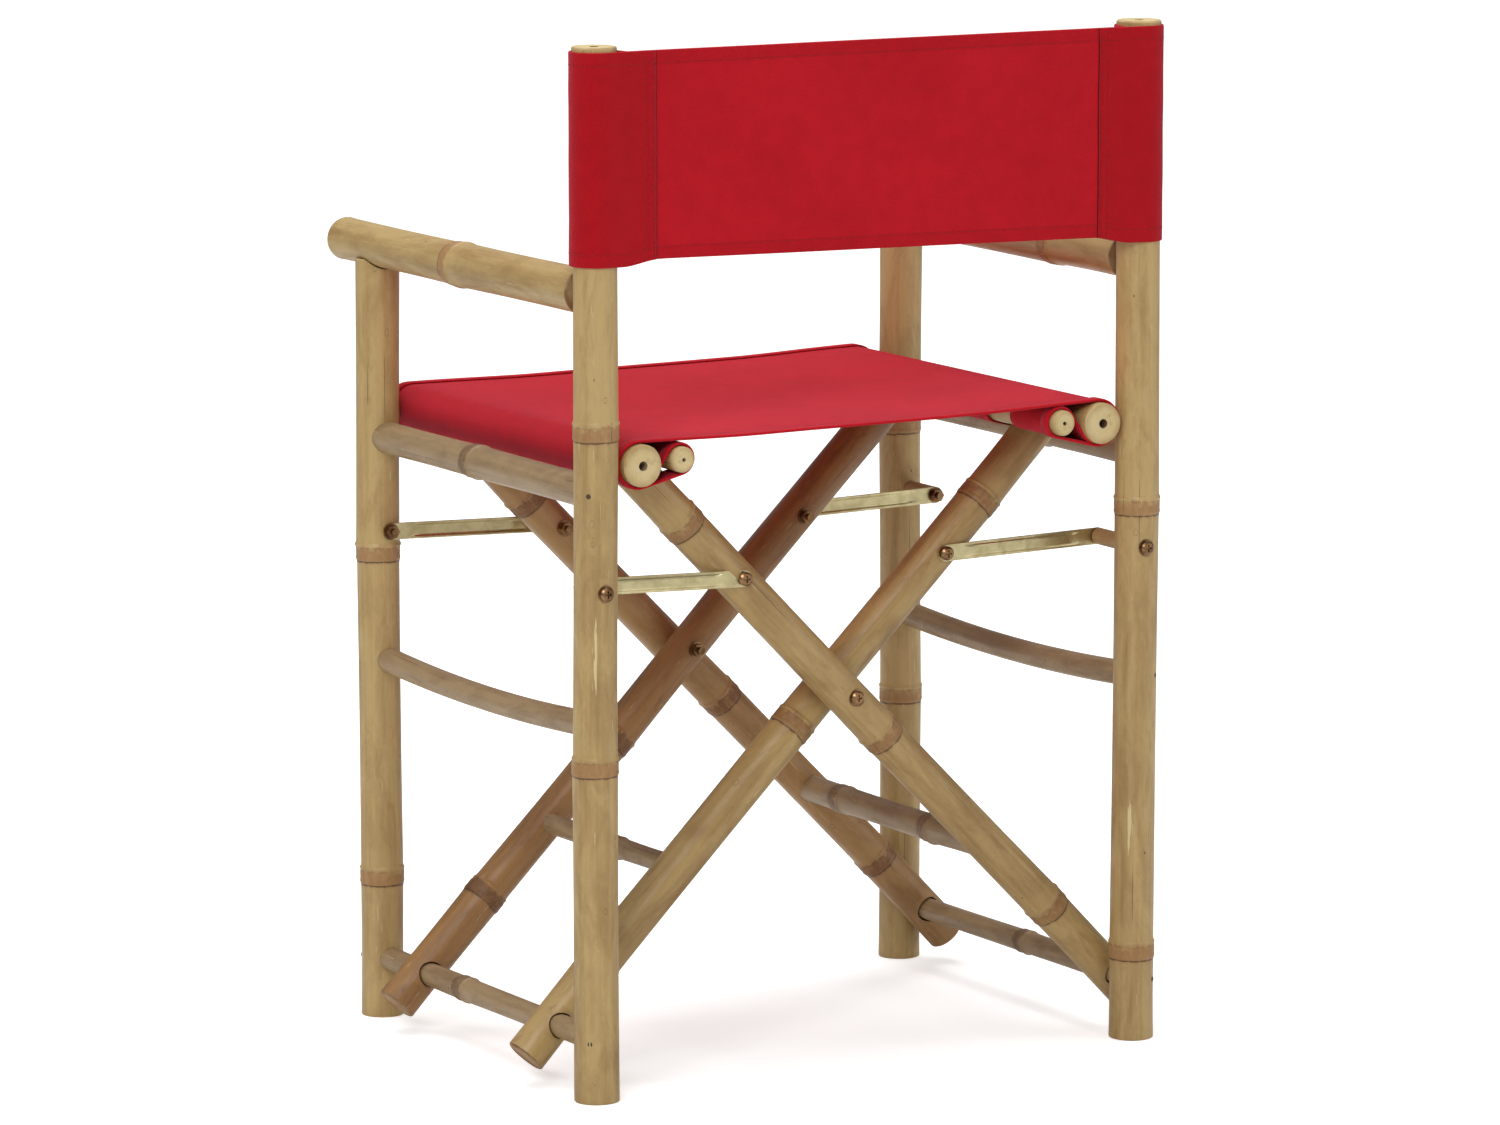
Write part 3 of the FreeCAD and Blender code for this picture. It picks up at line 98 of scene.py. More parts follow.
# ---------------------------------------------------------------- sizes
# Node rings of each culm in millimetres, from its lower or front end.
RINGS = {
    "left_rear_post": (271, 541),
    "left_front_post": (117, 393),
    "right_rear_post": (72, 446),
    "right_front_post": (231, 468),
    "left_armrest": (218,),
    "right_armrest": (120, 330),
    "left_seat_side_rung": (176,),
    "right_seat_side_rung": (236,),
    "left_foot_rung": (150,),
    "right_foot_rung": (212,),
    "outer_rear_leg": (120, 345, 610),
    "outer_front_leg": (100, 318, 580),
    "inner_rear_leg": (92, 351, 600),
    "inner_front_leg": (117, 290, 471),
    "outer_leg_rung": (58, 210),
    "inner_leg_rung": (120,),
}
CAD_RING_RISE = 0.8 * MM
RING_RISE = 1.15 * MM
RING_LIFT = 6 * MM  # a node's band stands this far past its ring in the CAD part
RING_BEFORE = 3 * MM  # an internode's own shape begins this far before its ring
NODE_BEFORE, NODE_AFTER = 15 * MM, 11 * MM  # the stretch with close rows of points
NODE_STEP, CULM_STEP, LEAST_STEP = 0.9 * MM, 7 * MM, 0.5 * MM
NEAR_REACH, NEAR_EASE = 22 * MM, 6 * MM  # how far a node's colours reach and fade
KINK = 1.9 * MM  # the most that a culm is off its axis at a node
KINK_LENGTH = 400 * MM  # shorter culms are kinked less
WAIST = 0.40 * MM  # how much thinner a culm is between two nodes
SWELL_RANGE = (-0.55, 0.30)
SWELL_EASE = 2 * MM
GROOVE_DEPTH, GROOVE_HALF_TURN = 0.85 * MM, 0.28  # the branch groove above a node
GROOVE_START, GROOVE_FADE = 8 * MM, 85 * MM
END_CHAMFER = 1.0 * MM
ROD_END_ROUND = 2.6 * MM
PITH_DEPTH = 9 * MM
WIDE_PITH = 3.5 * MM
THIN_PITH = 1.25 * MM
ARMREST_LAP = 3 * MM
CUT_FADE = 3 * ARMREST_LAP  # a shaped end's cut dies away over this length
FRONT_POST_LAP = 8 * MM
ARMREST_TIP_ROUND = 13 * MM
LEG_SHORT_OF_RAIL = 6 * MM
FOOT_HOLE_PLAY = 0.9 * MM
ROD_NOTCH_PLAY = 0.4 * MM
WASHER_SEAT_RADIUS = 7.3 * MM
BOLT_SEAT_DEPTH = 1.2 * MM
CLOTH_THICKNESS = 1.0 * MM
CLOTH_OFFSET = 1.0 * MM
HEM_WIDTH = 11 * MM
HEM_GAP = 1.5 * MM
HEM_DOUBLE = 0.35  # how much deeper the colour is in a hem
SEAT_HEM_DOUBLE = 0.08
SLEEVE_DOUBLE = 0.7
STITCH_IN = HEM_WIDTH - MM  # a hem's stitches from the cloth's edge
STITCH_LIFT = CLOTH_THICKNESS * 0.55  # stitches above the cloth's middle
LOOP_END_TURN = 9  # degrees, between the end of a rod's loop and the cloth below it
NOTCH_MARGIN = 2 * MM
NOTCH_END_TURN = {"left": -80, "right": 236}
FLAP_WIDTH = 9 * MM
SKIN, WOOD, HOLLOW = 0, 1, 2  # a culm's material slots


# ---------------------------------------------------------------- node helpers
def linear(red, green, blue):
    """A display colour of 0 to 255 as the linear colour that shaders use."""
    parts = []
    for part in (red, green, blue):
        share = part / 255
        low = share <= 0.04045
        parts.append(share / 12.92 if low else ((share + 0.055) / 1.055) ** 2.4)
    return (*parts, 1.0)


def add(tree, kind, inputs=None, **settings):
    """One shader node with its settings and inputs; an input is a value or a socket."""
    node = tree.nodes.new(kind)
    for name, value in settings.items():
        setattr(node, name, value)
    for name, value in (inputs or {}).items():
        if isinstance(value, bpy.types.NodeSocket):
            tree.links.new(value, node.inputs[name])
        else:
            node.inputs[name].default_value = value
    return node


def maths(tree, operation, *values):
    node = add(tree, "ShaderNodeMath", dict(enumerate(values)), operation=operation)
    return node.outputs[0]


def remap(tree, value, low, high, to_low=0.0, to_high=1.0):
    """A value from low to high becomes to_low to to_high, eased at both ends."""
    inputs = {"Value": value, "From Min": low, "From Max": high, "To Min": to_low, "To Max": to_high}
    return add(tree, "ShaderNodeMapRange", inputs, interpolation_type="SMOOTHSTEP").outputs[0]


def blend_colour(tree, share, under, over, kind="MIX"):
    node = add(tree, "ShaderNodeMix", {0: share, 6: under, 7: over}, data_type="RGBA", blend_type=kind)
    return node.outputs[2]


def stretched(tree, place, around, along):
    """Coordinates scaled across and along a piece."""
    node = add(tree, "ShaderNodeVectorMath", {0: place, 1: (around, around, along)}, operation="MULTIPLY")
    return node.outputs[0]


def cloudy(tree, place, detail=3.0, rough=0.5, warp=0.0):
    inputs = {"Vector": place, "Scale": 1.0, "Detail": detail, "Roughness": rough, "Distortion": warp}
    return add(tree, "ShaderNodeTexNoise", inputs).outputs["Fac"]


def attribute(tree, name, output="Fac"):
    return add(tree, "ShaderNodeAttribute", attribute_name=name).outputs[output]


SOCKETS = {"float": "NodeSocketFloat", "colour": "NodeSocketColor", "vector": "NodeSocketVector"}


def new_group(name, inputs, outputs):
    """A shader group with named sockets. Returns it with its entry and exit sockets."""
    group = bpy.data.node_groups.new(name, "ShaderNodeTree")
    for socket, kind in inputs.items():
        group.interface.new_socket(name=socket, in_out="INPUT", socket_type=SOCKETS[kind])
    for socket, kind in outputs.items():
        group.interface.new_socket(name=socket, in_out="OUTPUT", socket_type=SOCKETS[kind])
    entry = group.nodes.new("NodeGroupInput")
    leave = group.nodes.new("NodeGroupOutput")
    return group, entry.outputs, leave.inputs


def place_group(tree, group, inputs):
    node = tree.nodes.new("ShaderNodeGroup")
    node.node_tree = group
    for name, value in inputs.items():
        if isinstance(value, bpy.types.NodeSocket):
            tree.links.new(value, node.inputs[name])
        else:
            node.inputs[name].default_value = value
    return node.outputs


def new_material(name):
    """A new node material, its tree and its Principled shader."""
    material = bpy.data.materials.new(name)
    material.use_nodes = True
    tree = material.node_tree
    shader = tree.nodes["Principled BSDF"]
    return material, tree, shader


def bump(tree, height, strength, distance):
    inputs = {"Height": height, "Strength": strength, "Distance": distance}
    return add(tree, "ShaderNodeBump", inputs).outputs[0]


# ---------------------------------------------------------------- bamboo
def make_skin_group():
    """The outer skin of a culm: soft streaks, stains, node scars, specks, scrapes and splits."""
    group, into, out = new_group(
        "culm_skin",
        {"Place": "vector", "Seed": "float", "Ring": "float", "Near": "float", "Tone": "float",
         "Scrape": "float", "Pale": "colour", "Deep": "colour", "Band": "colour", "Stain": "float"},
        {"Color": "colour", "Roughness": "float", "Height": "float"},
    )
    shift = add(group, "ShaderNodeCombineXYZ", {"Z": into["Seed"]}).outputs[0]
    place = add(group, "ShaderNodeVectorMath", {0: into["Place"], 1: shift}, operation="ADD").outputs[0]
    fibre = cloudy(group, stretched(group, place, 1300, 15), 3.0, 0.6)
    streak = cloudy(group, stretched(group, place, 150, 4.5), 3.0, 0.5, 0.5)
    patch = cloudy(group, stretched(group, place, 46, 13), 5.0, 0.6, 0.9)
    stain = cloudy(group, stretched(group, place, 80, 26), 5.0, 0.65, 1.6)
    grime = cloudy(group, stretched(group, place, 230, 120), 4.0, 0.7, 0.6)
    tone = maths(group, "MULTIPLY", into["Tone"], 0.15)
    share = maths(group, "ADD", remap(group, streak, 0.34, 0.70, 0.0, 0.30), tone)
    share = maths(group, "ADD", share, remap(group, patch, 0.34, 0.72, -0.10, 0.50))
    share = maths(group, "ADD", share, remap(group, grime, 0.3, 0.7, -0.06, 0.10))
    colour = blend_colour(group, share, into["Pale"], into["Deep"])
    stained = maths(group, "MULTIPLY", remap(group, stain, 0.58, 0.78), into["Stain"])
    colour = blend_colour(group, stained, colour, into["Band"])
    shade = remap(group, fibre, 0.28, 0.72, 0.955, 1.03)
    colour = blend_colour(group, 1.0, colour, shade, "MULTIPLY")
    # the node: a pale bloom above it, a patchy brown band, and a broken dark scar line
    near = into["Near"]
    wave = maths(group, "MULTIPLY_ADD", patch, 0.003, into["Ring"])
    wave = maths(group, "MULTIPLY_ADD", grime, 0.0015, wave)
    ring = maths(group, "SUBTRACT", wave, 0.0023)
    ragged = maths(group, "MULTIPLY_ADD", maths(group, "SUBTRACT", stain, 0.5), 0.022, ring)
    bloom = maths(group, "MULTIPLY", remap(group, ring, 0.002, 0.006), near)
    bloom = maths(group, "MULTIPLY", bloom, remap(group, grime, 0.3, 0.6, 0.12, 0.38))
    colour = blend_colour(group, bloom, colour, into["Pale"])
    band = remap(group, ring, -0.014, -0.0085)
    band = maths(group, "MULTIPLY", band, remap(group, ragged, 0.0, 0.003, 1.0, 0.0))
    band = maths(group, "MULTIPLY", band, near)
    band = maths(group, "MULTIPLY", band, remap(group, grime, 0.3, 0.6, 0.42, 0.72))
    colour = blend_colour(group, band, colour, into["Band"])
    scar = maths(group, "ABSOLUTE", maths(group, "ADD", ring, 0.0105))
    line = remap(group, scar, 0.0002, 0.0011, 0.85, 0.0)
    ridge = maths(group, "ABSOLUTE", maths(group, "SUBTRACT", ring, 0.0012))
    line = maths(group, "MAXIMUM", line, remap(group, ridge, 0.0001, 0.0009, 0.2, 0.0))
    line = maths(group, "MULTIPLY", line, remap(group, grime, 0.34, 0.5, 0.35, 1.0))
    line = maths(group, "MULTIPLY", line, near)
    dark = linear(66, 42, 22)
    colour = blend_colour(group, line, colour, dark)
    # dark specks, small ringed scars, long fine splits and pale scrapes
    cells = add(group, "ShaderNodeTexVoronoi", {"Vector": stretched(group, place, 95, 60), "Scale": 1.0})
    near_cell = maths(group, "MULTIPLY_ADD", grime, 0.12, cells.outputs["Distance"])
    pick = add(group, "ShaderNodeSeparateColor", {"Color": cells.outputs["Color"]}).outputs[0]
    speck = remap(group, near_cell, 0.10, 0.16, 1.0, 0.0)
    speck = maths(group, "MULTIPLY", speck, maths(group, "GREATER_THAN", pick, 0.88))
    off_hoop = maths(group, "ABSOLUTE", maths(group, "SUBTRACT", near_cell, 0.24))
    hoop = remap(group, off_hoop, 0.004, 0.022, 1.0, 0.0)
    hoop = maths(group, "MULTIPLY", hoop, maths(group, "LESS_THAN", pick, 0.08))
    speck = maths(group, "MAXIMUM", speck, maths(group, "MULTIPLY", hoop, 0.7))
    colour = blend_colour(group, maths(group, "MULTIPLY", speck, 0.8), colour, dark)
    split = remap(group, cloudy(group, stretched(group, place, 520, 6), 1.0, 0.4), 0.745, 0.770)
    colour = blend_colour(group, maths(group, "MULTIPLY", split, 0.6), colour, dark)
    scuff = cloudy(group, stretched(group, place, 620, 26), 2.0, 0.6)
    scuff = maths(group, "MULTIPLY_ADD", into["Scrape"], 0.34, scuff)
    scuff = remap(group, scuff, 0.725, 0.75)
    colour = blend_colour(group, maths(group, "MULTIPLY", scuff, 0.8), colour, linear(214, 200, 148))
    group.links.new(colour, out["Color"])
    rough = remap(group, patch, 0.3, 0.7, 0.38, 0.56)
    rough = maths(group, "ADD", rough, maths(group, "MULTIPLY", band, 0.2))
    group.links.new(rough, out["Roughness"])
    height = maths(group, "MULTIPLY", fibre, 0.16)
    height = maths(group, "MULTIPLY_ADD", streak, 0.6, height)
    height = maths(group, "MULTIPLY_ADD", grime, 0.25, height)
    height = maths(group, "SUBTRACT", height, maths(group, "MULTIPLY", split, 0.6))
    height = maths(group, "SUBTRACT", height, maths(group, "MULTIPLY", speck, 0.5))
    height = maths(group, "SUBTRACT", height, maths(group, "MULTIPLY", line, 0.8))
    height = maths(group, "SUBTRACT", height, maths(group, "MULTIPLY", scuff, 0.35))
    group.links.new(height, out["Height"])
    return group


def make_end_group():
    """The sawn end of a culm: dotted fibre bundles, denser and darker towards the rim."""
    group, into, out = new_group(
        "culm_end",
        {"Place": "vector", "Seed": "float", "Wood": "colour", "Rim": "colour", "Radius": "float"},
        {"Color": "colour", "Height": "float"},
    )
    shift = add(group, "ShaderNodeCombineXYZ", {"X": into["Seed"]}).outputs[0]
    place = add(group, "ShaderNodeVectorMath", {0: into["Place"], 1: shift}, operation="ADD").outputs[0]
    parts = add(group, "ShaderNodeSeparateXYZ", {0: into["Place"]}).outputs
    square = maths(group, "MULTIPLY_ADD", parts[0], parts[0], maths(group, "MULTIPLY", parts[1], parts[1]))
    out_share = maths(group, "DIVIDE", maths(group, "SQRT", square), into["Radius"])
    dots = add(group, "ShaderNodeTexVoronoi", {"Vector": stretched(group, place, 900, 20), "Scale": 1.0})
    dot = remap(group, dots.outputs["Distance"], 0.15, 0.5, 1.0, 0.0)
    grime = cloudy(group, stretched(group, place, 130, 130), 4.0, 0.6)
    saw = cloudy(group, stretched(group, place, 60, 60), 2.0, 0.5)
    colour = blend_colour(group, remap(group, out_share, 0.55, 1.0, 0.0, 0.55), into["Wood"], into["Rim"])
    colour = blend_colour(group, maths(group, "MULTIPLY", dot, 0.22), colour, into["Rim"])
    colour = blend_colour(group, remap(group, grime, 0.55, 0.75, 0.0, 0.5), colour, into["Rim"])
    colour = blend_colour(group, remap(group, saw, 0.35, 0.65, 0.0, 0.25), colour, linear(226, 210, 168))
    group.links.new(colour, out["Color"])
    group.links.new(maths(group, "ADD", dot, grime), out["Height"])
    return group


skin_group = make_skin_group()
end_group = make_end_group()


def bamboo(name, pale, deep, band, stain):
    material, tree, shader = new_material(name)
    made = place_group(tree, skin_group, {
        "Place": attribute(tree, "place", "Vector"), "Seed": attribute(tree, "seed"),
        "Ring": attribute(tree, "ring"), "Near": attribute(tree, "near"),
        "Tone": attribute(tree, "tone"), "Scrape": attribute(tree, "scrape"),
        "Pale": pale, "Deep": deep, "Band": band, "Stain": stain,
    })
    tree.links.new(made["Color"], shader.inputs["Base Color"])
    tree.links.new(made["Roughness"], shader.inputs["Roughness"])
    tree.links.new(bump(tree, made["Height"], 0.35, 0.0006), shader.inputs["Normal"])
    shader.inputs["Coat Weight"].default_value = 0.12
    shader.inputs["Coat Roughness"].default_value = 0.3
    shader.inputs["Specular IOR Level"].default_value = 0.4
    return material


def sawn_end(name, wood, rim):
    material, tree, shader = new_material(name)
    made = place_group(tree, end_group, {
        "Place": attribute(tree, "place", "Vector"), "Seed": attribute(tree, "seed"),
        "Wood": wood, "Rim": rim, "Radius": attribute(tree, "radius"),
    })
    tree.links.new(made["Color"], shader.inputs["Base Color"])
    tree.links.new(bump(tree, made["Height"], 0.4, 0.0003), shader.inputs["Normal"])
    shader.inputs["Roughness"].default_value = 0.78
    shader.inputs["Specular IOR Level"].default_value = 0.25
    return material


PALE_BAMBOO = bamboo("pale_bamboo", linear(186, 158, 104), linear(148, 116, 68), linear(152, 106, 66), 0.4)
TAN_BAMBOO = bamboo("tan_bamboo", linear(178, 149, 96), linear(136, 104, 60), linear(132, 88, 50), 0.5)
RUSSET_BAMBOO = bamboo("russet_bamboo", linear(172, 134, 84), linear(132, 94, 54), linear(110, 66, 36), 0.5)
# a darker copy of the front legs' brown bamboo for the inner front leg: its extra darkness is painted shade
SHADED_LEG_BAMBOO = bamboo("shaded_leg_bamboo", linear(154, 114, 68), linear(110, 74, 42), linear(88, 52, 30), 0.5)
GREY_BAMBOO = bamboo("grey_bamboo", linear(160, 134, 98), linear(116, 90, 62), linear(104, 74, 48), 0.4)
SAWN = sawn_end("sawn_bamboo", linear(204, 182, 132), linear(150, 114, 68))
WORN_END = sawn_end("worn_sawn_bamboo", linear(150, 112, 72), linear(104, 70, 42))
# the hole in a cut end: its dark brown is painted shade inside the hole
HOLLOW_SHADE = sawn_end("culm_hollow_painted_shade", linear(84, 54, 30), linear(40, 24, 14))

CULM_SKINS = {
    "post": PALE_BAMBOO,
    "armrest": PALE_BAMBOO,
    "rear_leg": TAN_BAMBOO,
    "outer_front_leg": RUSSET_BAMBOO,
    # the inner front leg takes the darker copy, which is painted shade
    "inner_front_leg": SHADED_LEG_BAMBOO,
    "rung": GREY_BAMBOO,
}


def skin_of(node):
    return next((skin for part, skin in CULM_SKINS.items() if part in node), PALE_BAMBOO)


# ---------------------------------------------------------------- mesh helpers
def new_piece(name, points, faces, materials, face_materials=None, attributes=None, sharp=38):
    """A mesh object with smooth shading, material slots and point attributes."""
    mesh = bpy.data.meshes.new(name)
    mesh.from_pydata([tuple(p) for p in points], [], faces)
    for key, values in (attributes or {}).items():
        values = np.asarray(values, np.float32)
        vector = values.ndim == 2
        made = mesh.attributes.new(key, "FLOAT_VECTOR" if vector else "FLOAT", "POINT")
        made.data.foreach_set("vector" if vector else "value", values.ravel())
    for material in materials:
        mesh.materials.append(material)
    if face_materials is not None:
        mesh.polygons.foreach_set("material_index", face_materials)
    mesh.polygons.foreach_set("use_smooth", [True] * len(mesh.polygons))
    mesh.update()
    mesh.set_sharp_from_angle(angle=math.radians(sharp))
    piece = bpy.data.objects.new(name, mesh)
    bpy.context.scene.collection.objects.link(piece)
    return piece


def bake_modifiers(piece):
    """Apply a piece's modifiers to its mesh."""
    bpy.context.view_layer.update()
    evaluated = piece.evaluated_get(bpy.context.evaluated_depsgraph_get())
    mesh = bpy.data.meshes.new_from_object(evaluated)
    piece.modifiers.clear()
    piece.data = mesh
    return piece


def carve(piece, cylinders, rounds=40):
    """Cut cylinders out of a piece. Each is its middle, direction, radius and length."""
    points = []
    faces = []
    for middle, direction, radius, length in cylinders:
        turn = direction.to_track_quat("Z", "Y").to_matrix()
        first = len(points)
        for level in (-0.5, 0.5):
            for step in range(rounds):
                angle = 2 * math.pi * (step + 0.5) / rounds
                spot = Vector((radius * math.cos(angle), radius * math.sin(angle), level * length))
                points.append(middle + turn @ spot)
        for step in range(rounds):
            ahead = (step + 1) % rounds
            faces.append((first + step, first + ahead, first + rounds + ahead, first + rounds + step))
        faces.append(tuple(first + step for step in reversed(range(rounds))))
        faces.append(tuple(first + rounds + step for step in range(rounds)))
    tool = new_piece("carving_tool", points, faces, piece.data.materials[:], [1] * len(faces))
    cut = piece.modifiers.new("carve", "BOOLEAN")
    cut.object = tool
    cut.solver = "EXACT"
    bake_modifiers(piece)
    bpy.data.objects.remove(tool)
    piece.data.set_sharp_from_angle(angle=math.radians(38))
    return piece


# ---------------------------------------------------------------- culms
def saddle(radius, lap):
    """How far a lapped end is cut back at an offset across the culm, to sit on
    another culm of that radius."""
    def depth(across):
        fall = radius - np.sqrt(np.maximum(radius ** 2 - across ** 2, 0))
        return np.maximum(lap - fall, 0)
    return depth


def square_cut(across):
    return np.zeros_like(across)


def ring_relief(ahead):
    """Height of a node at a distance ahead of its ring: two ridges and a swell between."""
    upper = np.exp(-((ahead - 3.5 * MM) / (1.5 * MM)) ** 2)
    lower = 0.75 * np.exp(-((ahead + 7.5 * MM) / (2.4 * MM)) ** 2)
    swell = 0.55 * np.exp(-((ahead + 2 * MM) / (7 * MM)) ** 4)
    return RING_RISE * np.maximum(np.maximum(upper, lower), swell)


def stations_of(length, rings):
    """Places along a culm at which it has a ring of points, closer at each node."""
    places = list(np.arange(END_CHAMFER, length - END_CHAMFER, CULM_STEP)) + [length - END_CHAMFER]
    for ring in rings:
        places += list(np.arange(ring - NODE_BEFORE, ring + NODE_AFTER, NODE_STEP))
    places = sorted(p for p in places if END_CHAMFER <= p <= length - END_CHAMFER)
    kept = [places[0]]
    for p in places[1:-1]:
        if p - kept[-1] > LEAST_STEP and places[-1] - p > LEAST_STEP:
            kept.append(p)
    return np.array(kept + [places[-1]])


def cap_profile(radius, pith, tip, chamfer):
    """Rows from the middle of an end out to its rim: radius, depth and material."""
    if tip:
        flat_radius = radius - tip
        made = [(flat_radius * share, 0.0, SKIN) for share in (0.2, 0.6)]
        for step in range(8):
            turn = step / 8 * math.pi / 2
            made.append((flat_radius + tip * math.sin(turn), tip - tip * math.cos(turn), SKIN))
        return made
    made = []
    if pith:
        made += [(pith * 0.55, PITH_DEPTH, HOLLOW), (pith * 0.95, PITH_DEPTH * 0.8, HOLLOW)]
        made += [(pith, 0.6 * MM, HOLLOW), (pith + 0.4 * MM, 0.0, WOOD)]
    made += [(radius * share, 0.0, WOOD) for share in (0.3, 0.5, 0.7, 0.88)
             if pith * 1.3 < radius * share < radius - chamfer]
    made.append((radius - chamfer, 0.0, WOOD))
    if chamfer > END_CHAMFER:
        for turn in (0.45, 0.9, 1.25):
            inset = chamfer * (1 - math.sin(turn))
            made.append((radius - inset, chamfer * (1 - math.cos(turn)), WOOD))
    return made


def band_material(first, second):
    """Material between two rows: skin only between skin rows, wood where they differ."""
    if SKIN in (first, second):
        return SKIN if first == second else WOOD
    return max(first, second)


def culm_faces(row_materials, around):
    """Faces between neighbouring rows, and a fan to a middle point that closes each end."""
    faces = []
    materials = []
    for row, (one, other) in enumerate(zip(row_materials, row_materials[1:])):
        first = row * around
        for step in range(around):
            beside = (step + 1) % around
            faces.append((first + step, first + beside, first + around + beside, first + around + step))
            materials.append(band_material(one, other))
    count = len(row_materials)
    for middle, row, order in ((count * around, 0, -1), (count * around + 1, count - 1, 1)):
        for step in range(around):
            pair = (row * around + step, row * around + (step + 1) % around)
            faces.append((middle, *pair[::order]))
            materials.append(row_materials[row])
    return faces, materials


def culm_marks(places, rings, scrapes):
    """At each point: how far past its nearest ring it is, and how much it is scraped."""
    past_ring = np.full(len(places), 1.0)
    for ring in rings:
        past = places[:, 2] - ring
        past_ring = np.where(np.abs(past) < np.abs(past_ring), past, past_ring)
    turned = np.arctan2(places[:, 1], places[:, 0])
    scraped = np.zeros(len(places))
    for angle, at, half_angle, half_length in scrapes:
        off = (turned - angle + math.pi) % (2 * math.pi) - math.pi
        window = np.exp(-(off / half_angle) ** 2 - ((places[:, 2] - at) / half_length) ** 4)
        scraped = np.maximum(scraped, window)
    return past_ring, scraped


def culm(node, start, end, radius, across=X_AXIS, pith=WIDE_PITH, end_cut=square_cut,
         round_tip=0.0, bow=0.0, around=64, chamfer=END_CHAMFER, end_wood=SAWN, scrapes=()):
    """A bamboo culm from start to end: node rings, branch grooves, a slight kink at
    each node, and sawn ends with the pith hole. It stands for its node."""
    chance = random.Random(node)
    ahead = (end - start).normalized()
    length = (end - start).length
    up = ahead.cross(across)
    rings = [ring * MM + RING_LIFT for ring in RINGS.get(node, ())]
    angles = np.arange(around) * 2 * math.pi / around
    flat = [chance.uniform(0.002, 0.007) for _ in range(3)]
    turns = [chance.uniform(0, 2 * math.pi) for _ in range(3)]
    oval = sum(flat[i] * np.cos((i + 2) * angles + turns[i]) for i in range(3))
    knots = [0.0] + rings + [length]
    shove = KINK * min(length / KINK_LENGTH, 1)
    kinks = [[0.0, 0.0]] + [[chance.uniform(-shove, shove) for _ in range(2)] for _ in rings]
    kinks = np.array(kinks + [[0.0, 0.0]])
    swells = [chance.uniform(*SWELL_RANGE) * MM for _ in knots]
    grooves = [chance.uniform(0, 2 * math.pi) for _ in knots]
    tones = [chance.uniform(-1, 1) for _ in knots]
    rows = []

    def cap(cut, from_end, tip):
        """Rows of one end, in the order that they have along the culm."""
        made = cap_profile(radius, pith, tip, chamfer)
        for wide, deep, material in reversed(made) if from_end else made:
            a = wide * (1 + oval) * np.cos(angles)
            b = wide * (1 + oval) * np.sin(angles)
            back = cut(a)
            s = length - deep - back if from_end else deep + back
            rows.append((a, b, s, material, 0.0))

    cap(square_cut, False, round_tip)
    for place in stations_of(length, rings):
        if place < max(round_tip, chamfer) or length - place < chamfer:
            continue
        span = max(i for i, knot in enumerate(knots[:-1]) if place >= knot - RING_BEFORE or i == 0)
        past = place - knots[span]
        share = past / (knots[span + 1] - knots[span])
        radii = radius * (1 + oval) - WAIST * math.sin(math.pi * min(max(share, 0), 1))
        if rings:
            step = min(max(past / SWELL_EASE, 0), 1) if span else 1
            radii = radii + swells[span] * step + (swells[span - 1] if span else 0) * (1 - step)
        for ring in rings:
            radii = radii + ring_relief(np.array(place - ring))
        if span > 0 and past > 0:
            gap = (angles - grooves[span] + math.pi) % (2 * math.pi) - math.pi
            fade = math.exp(-past / GROOVE_FADE) * min(past / GROOVE_START, 1)
            radii = radii - GROOVE_DEPTH * fade * np.exp(-(gap / GROOVE_HALF_TURN) ** 2)
        a = radii * np.cos(angles)
        b = radii * np.sin(angles)
        near_end = max(1 - (length - place) / CUT_FADE, 0)
        s = place - end_cut(a) * near_end
        rows.append((a, b, s, SKIN, tones[span]))
    cap(end_cut, True, 0.0)

    points = []
    places = []
    tone_values = []
    for a, b, s, _, tone in rows:
        lift_a = np.interp(s, knots, kinks[:, 0])
        lift_b = np.interp(s, knots, kinks[:, 1])
        drop = bow * 4 * (s / length) * (1 - s / length)
        spots = np.outer(s, ahead) + np.outer(a + lift_a, across) + np.outer(b + lift_b, up)
        spots += np.array(start) - np.outer(drop, Z_AXIS)
        points += [tuple(p) for p in spots]
        places += list(np.stack([a, b, s], 1))
        tone_values += [tone] * around
    for _, _, s, _, tone in (rows[0], rows[-1]):
        reach = float(s.mean())
        points.append(tuple(np.array(start) + reach * np.array(ahead)))
        places.append((0.0, 0.0, reach))
        tone_values.append(tone)
    faces, face_materials = culm_faces([row[3] for row in rows], around)
    places = np.array(places)
    past_ring, scraped = culm_marks(places, rings, scrapes)
    attributes = {
        "place": places,
        "ring": past_ring,
        "near": np.clip((NEAR_REACH - np.abs(past_ring)) / NEAR_EASE, 0, 1),
        "scrape": scraped,
        "tone": tone_values,
        "seed": [chance.uniform(1, 40)] * len(places),
        "radius": [radius] * len(places),
    }
    looks = [skin_of(node), end_wood, HOLLOW_SHADE]
    piece = new_piece(f"{node}_culm", points, faces, looks, face_materials, attributes)
    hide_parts(node)
    return piece


def radius_of(node, axis):
    """Radius of a culm from its box, without its node rings."""
    low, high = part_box(node)
    return (high[axis] - low[axis]) / 2 - (CAD_RING_RISE if node in RINGS else 0)


def cross_culm(node, **options):
    """A culm that runs from front to rear, at its node's place."""
    low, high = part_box(node)
    middle = (low + high) / 2
    radius = radius_of(node, 0)
    bow = (high.z - low.z) - 2 * radius - (2 * CAD_RING_RISE if node in RINGS else 0)
    level = high.z - radius if bow > CAD_RING_RISE else middle.z
    start = Vector((middle.x, low.y, level))
    end = Vector((middle.x, high.y, level))
    return culm(node, start, end, radius, bow=bow if bow > CAD_RING_RISE else 0.0, **options)


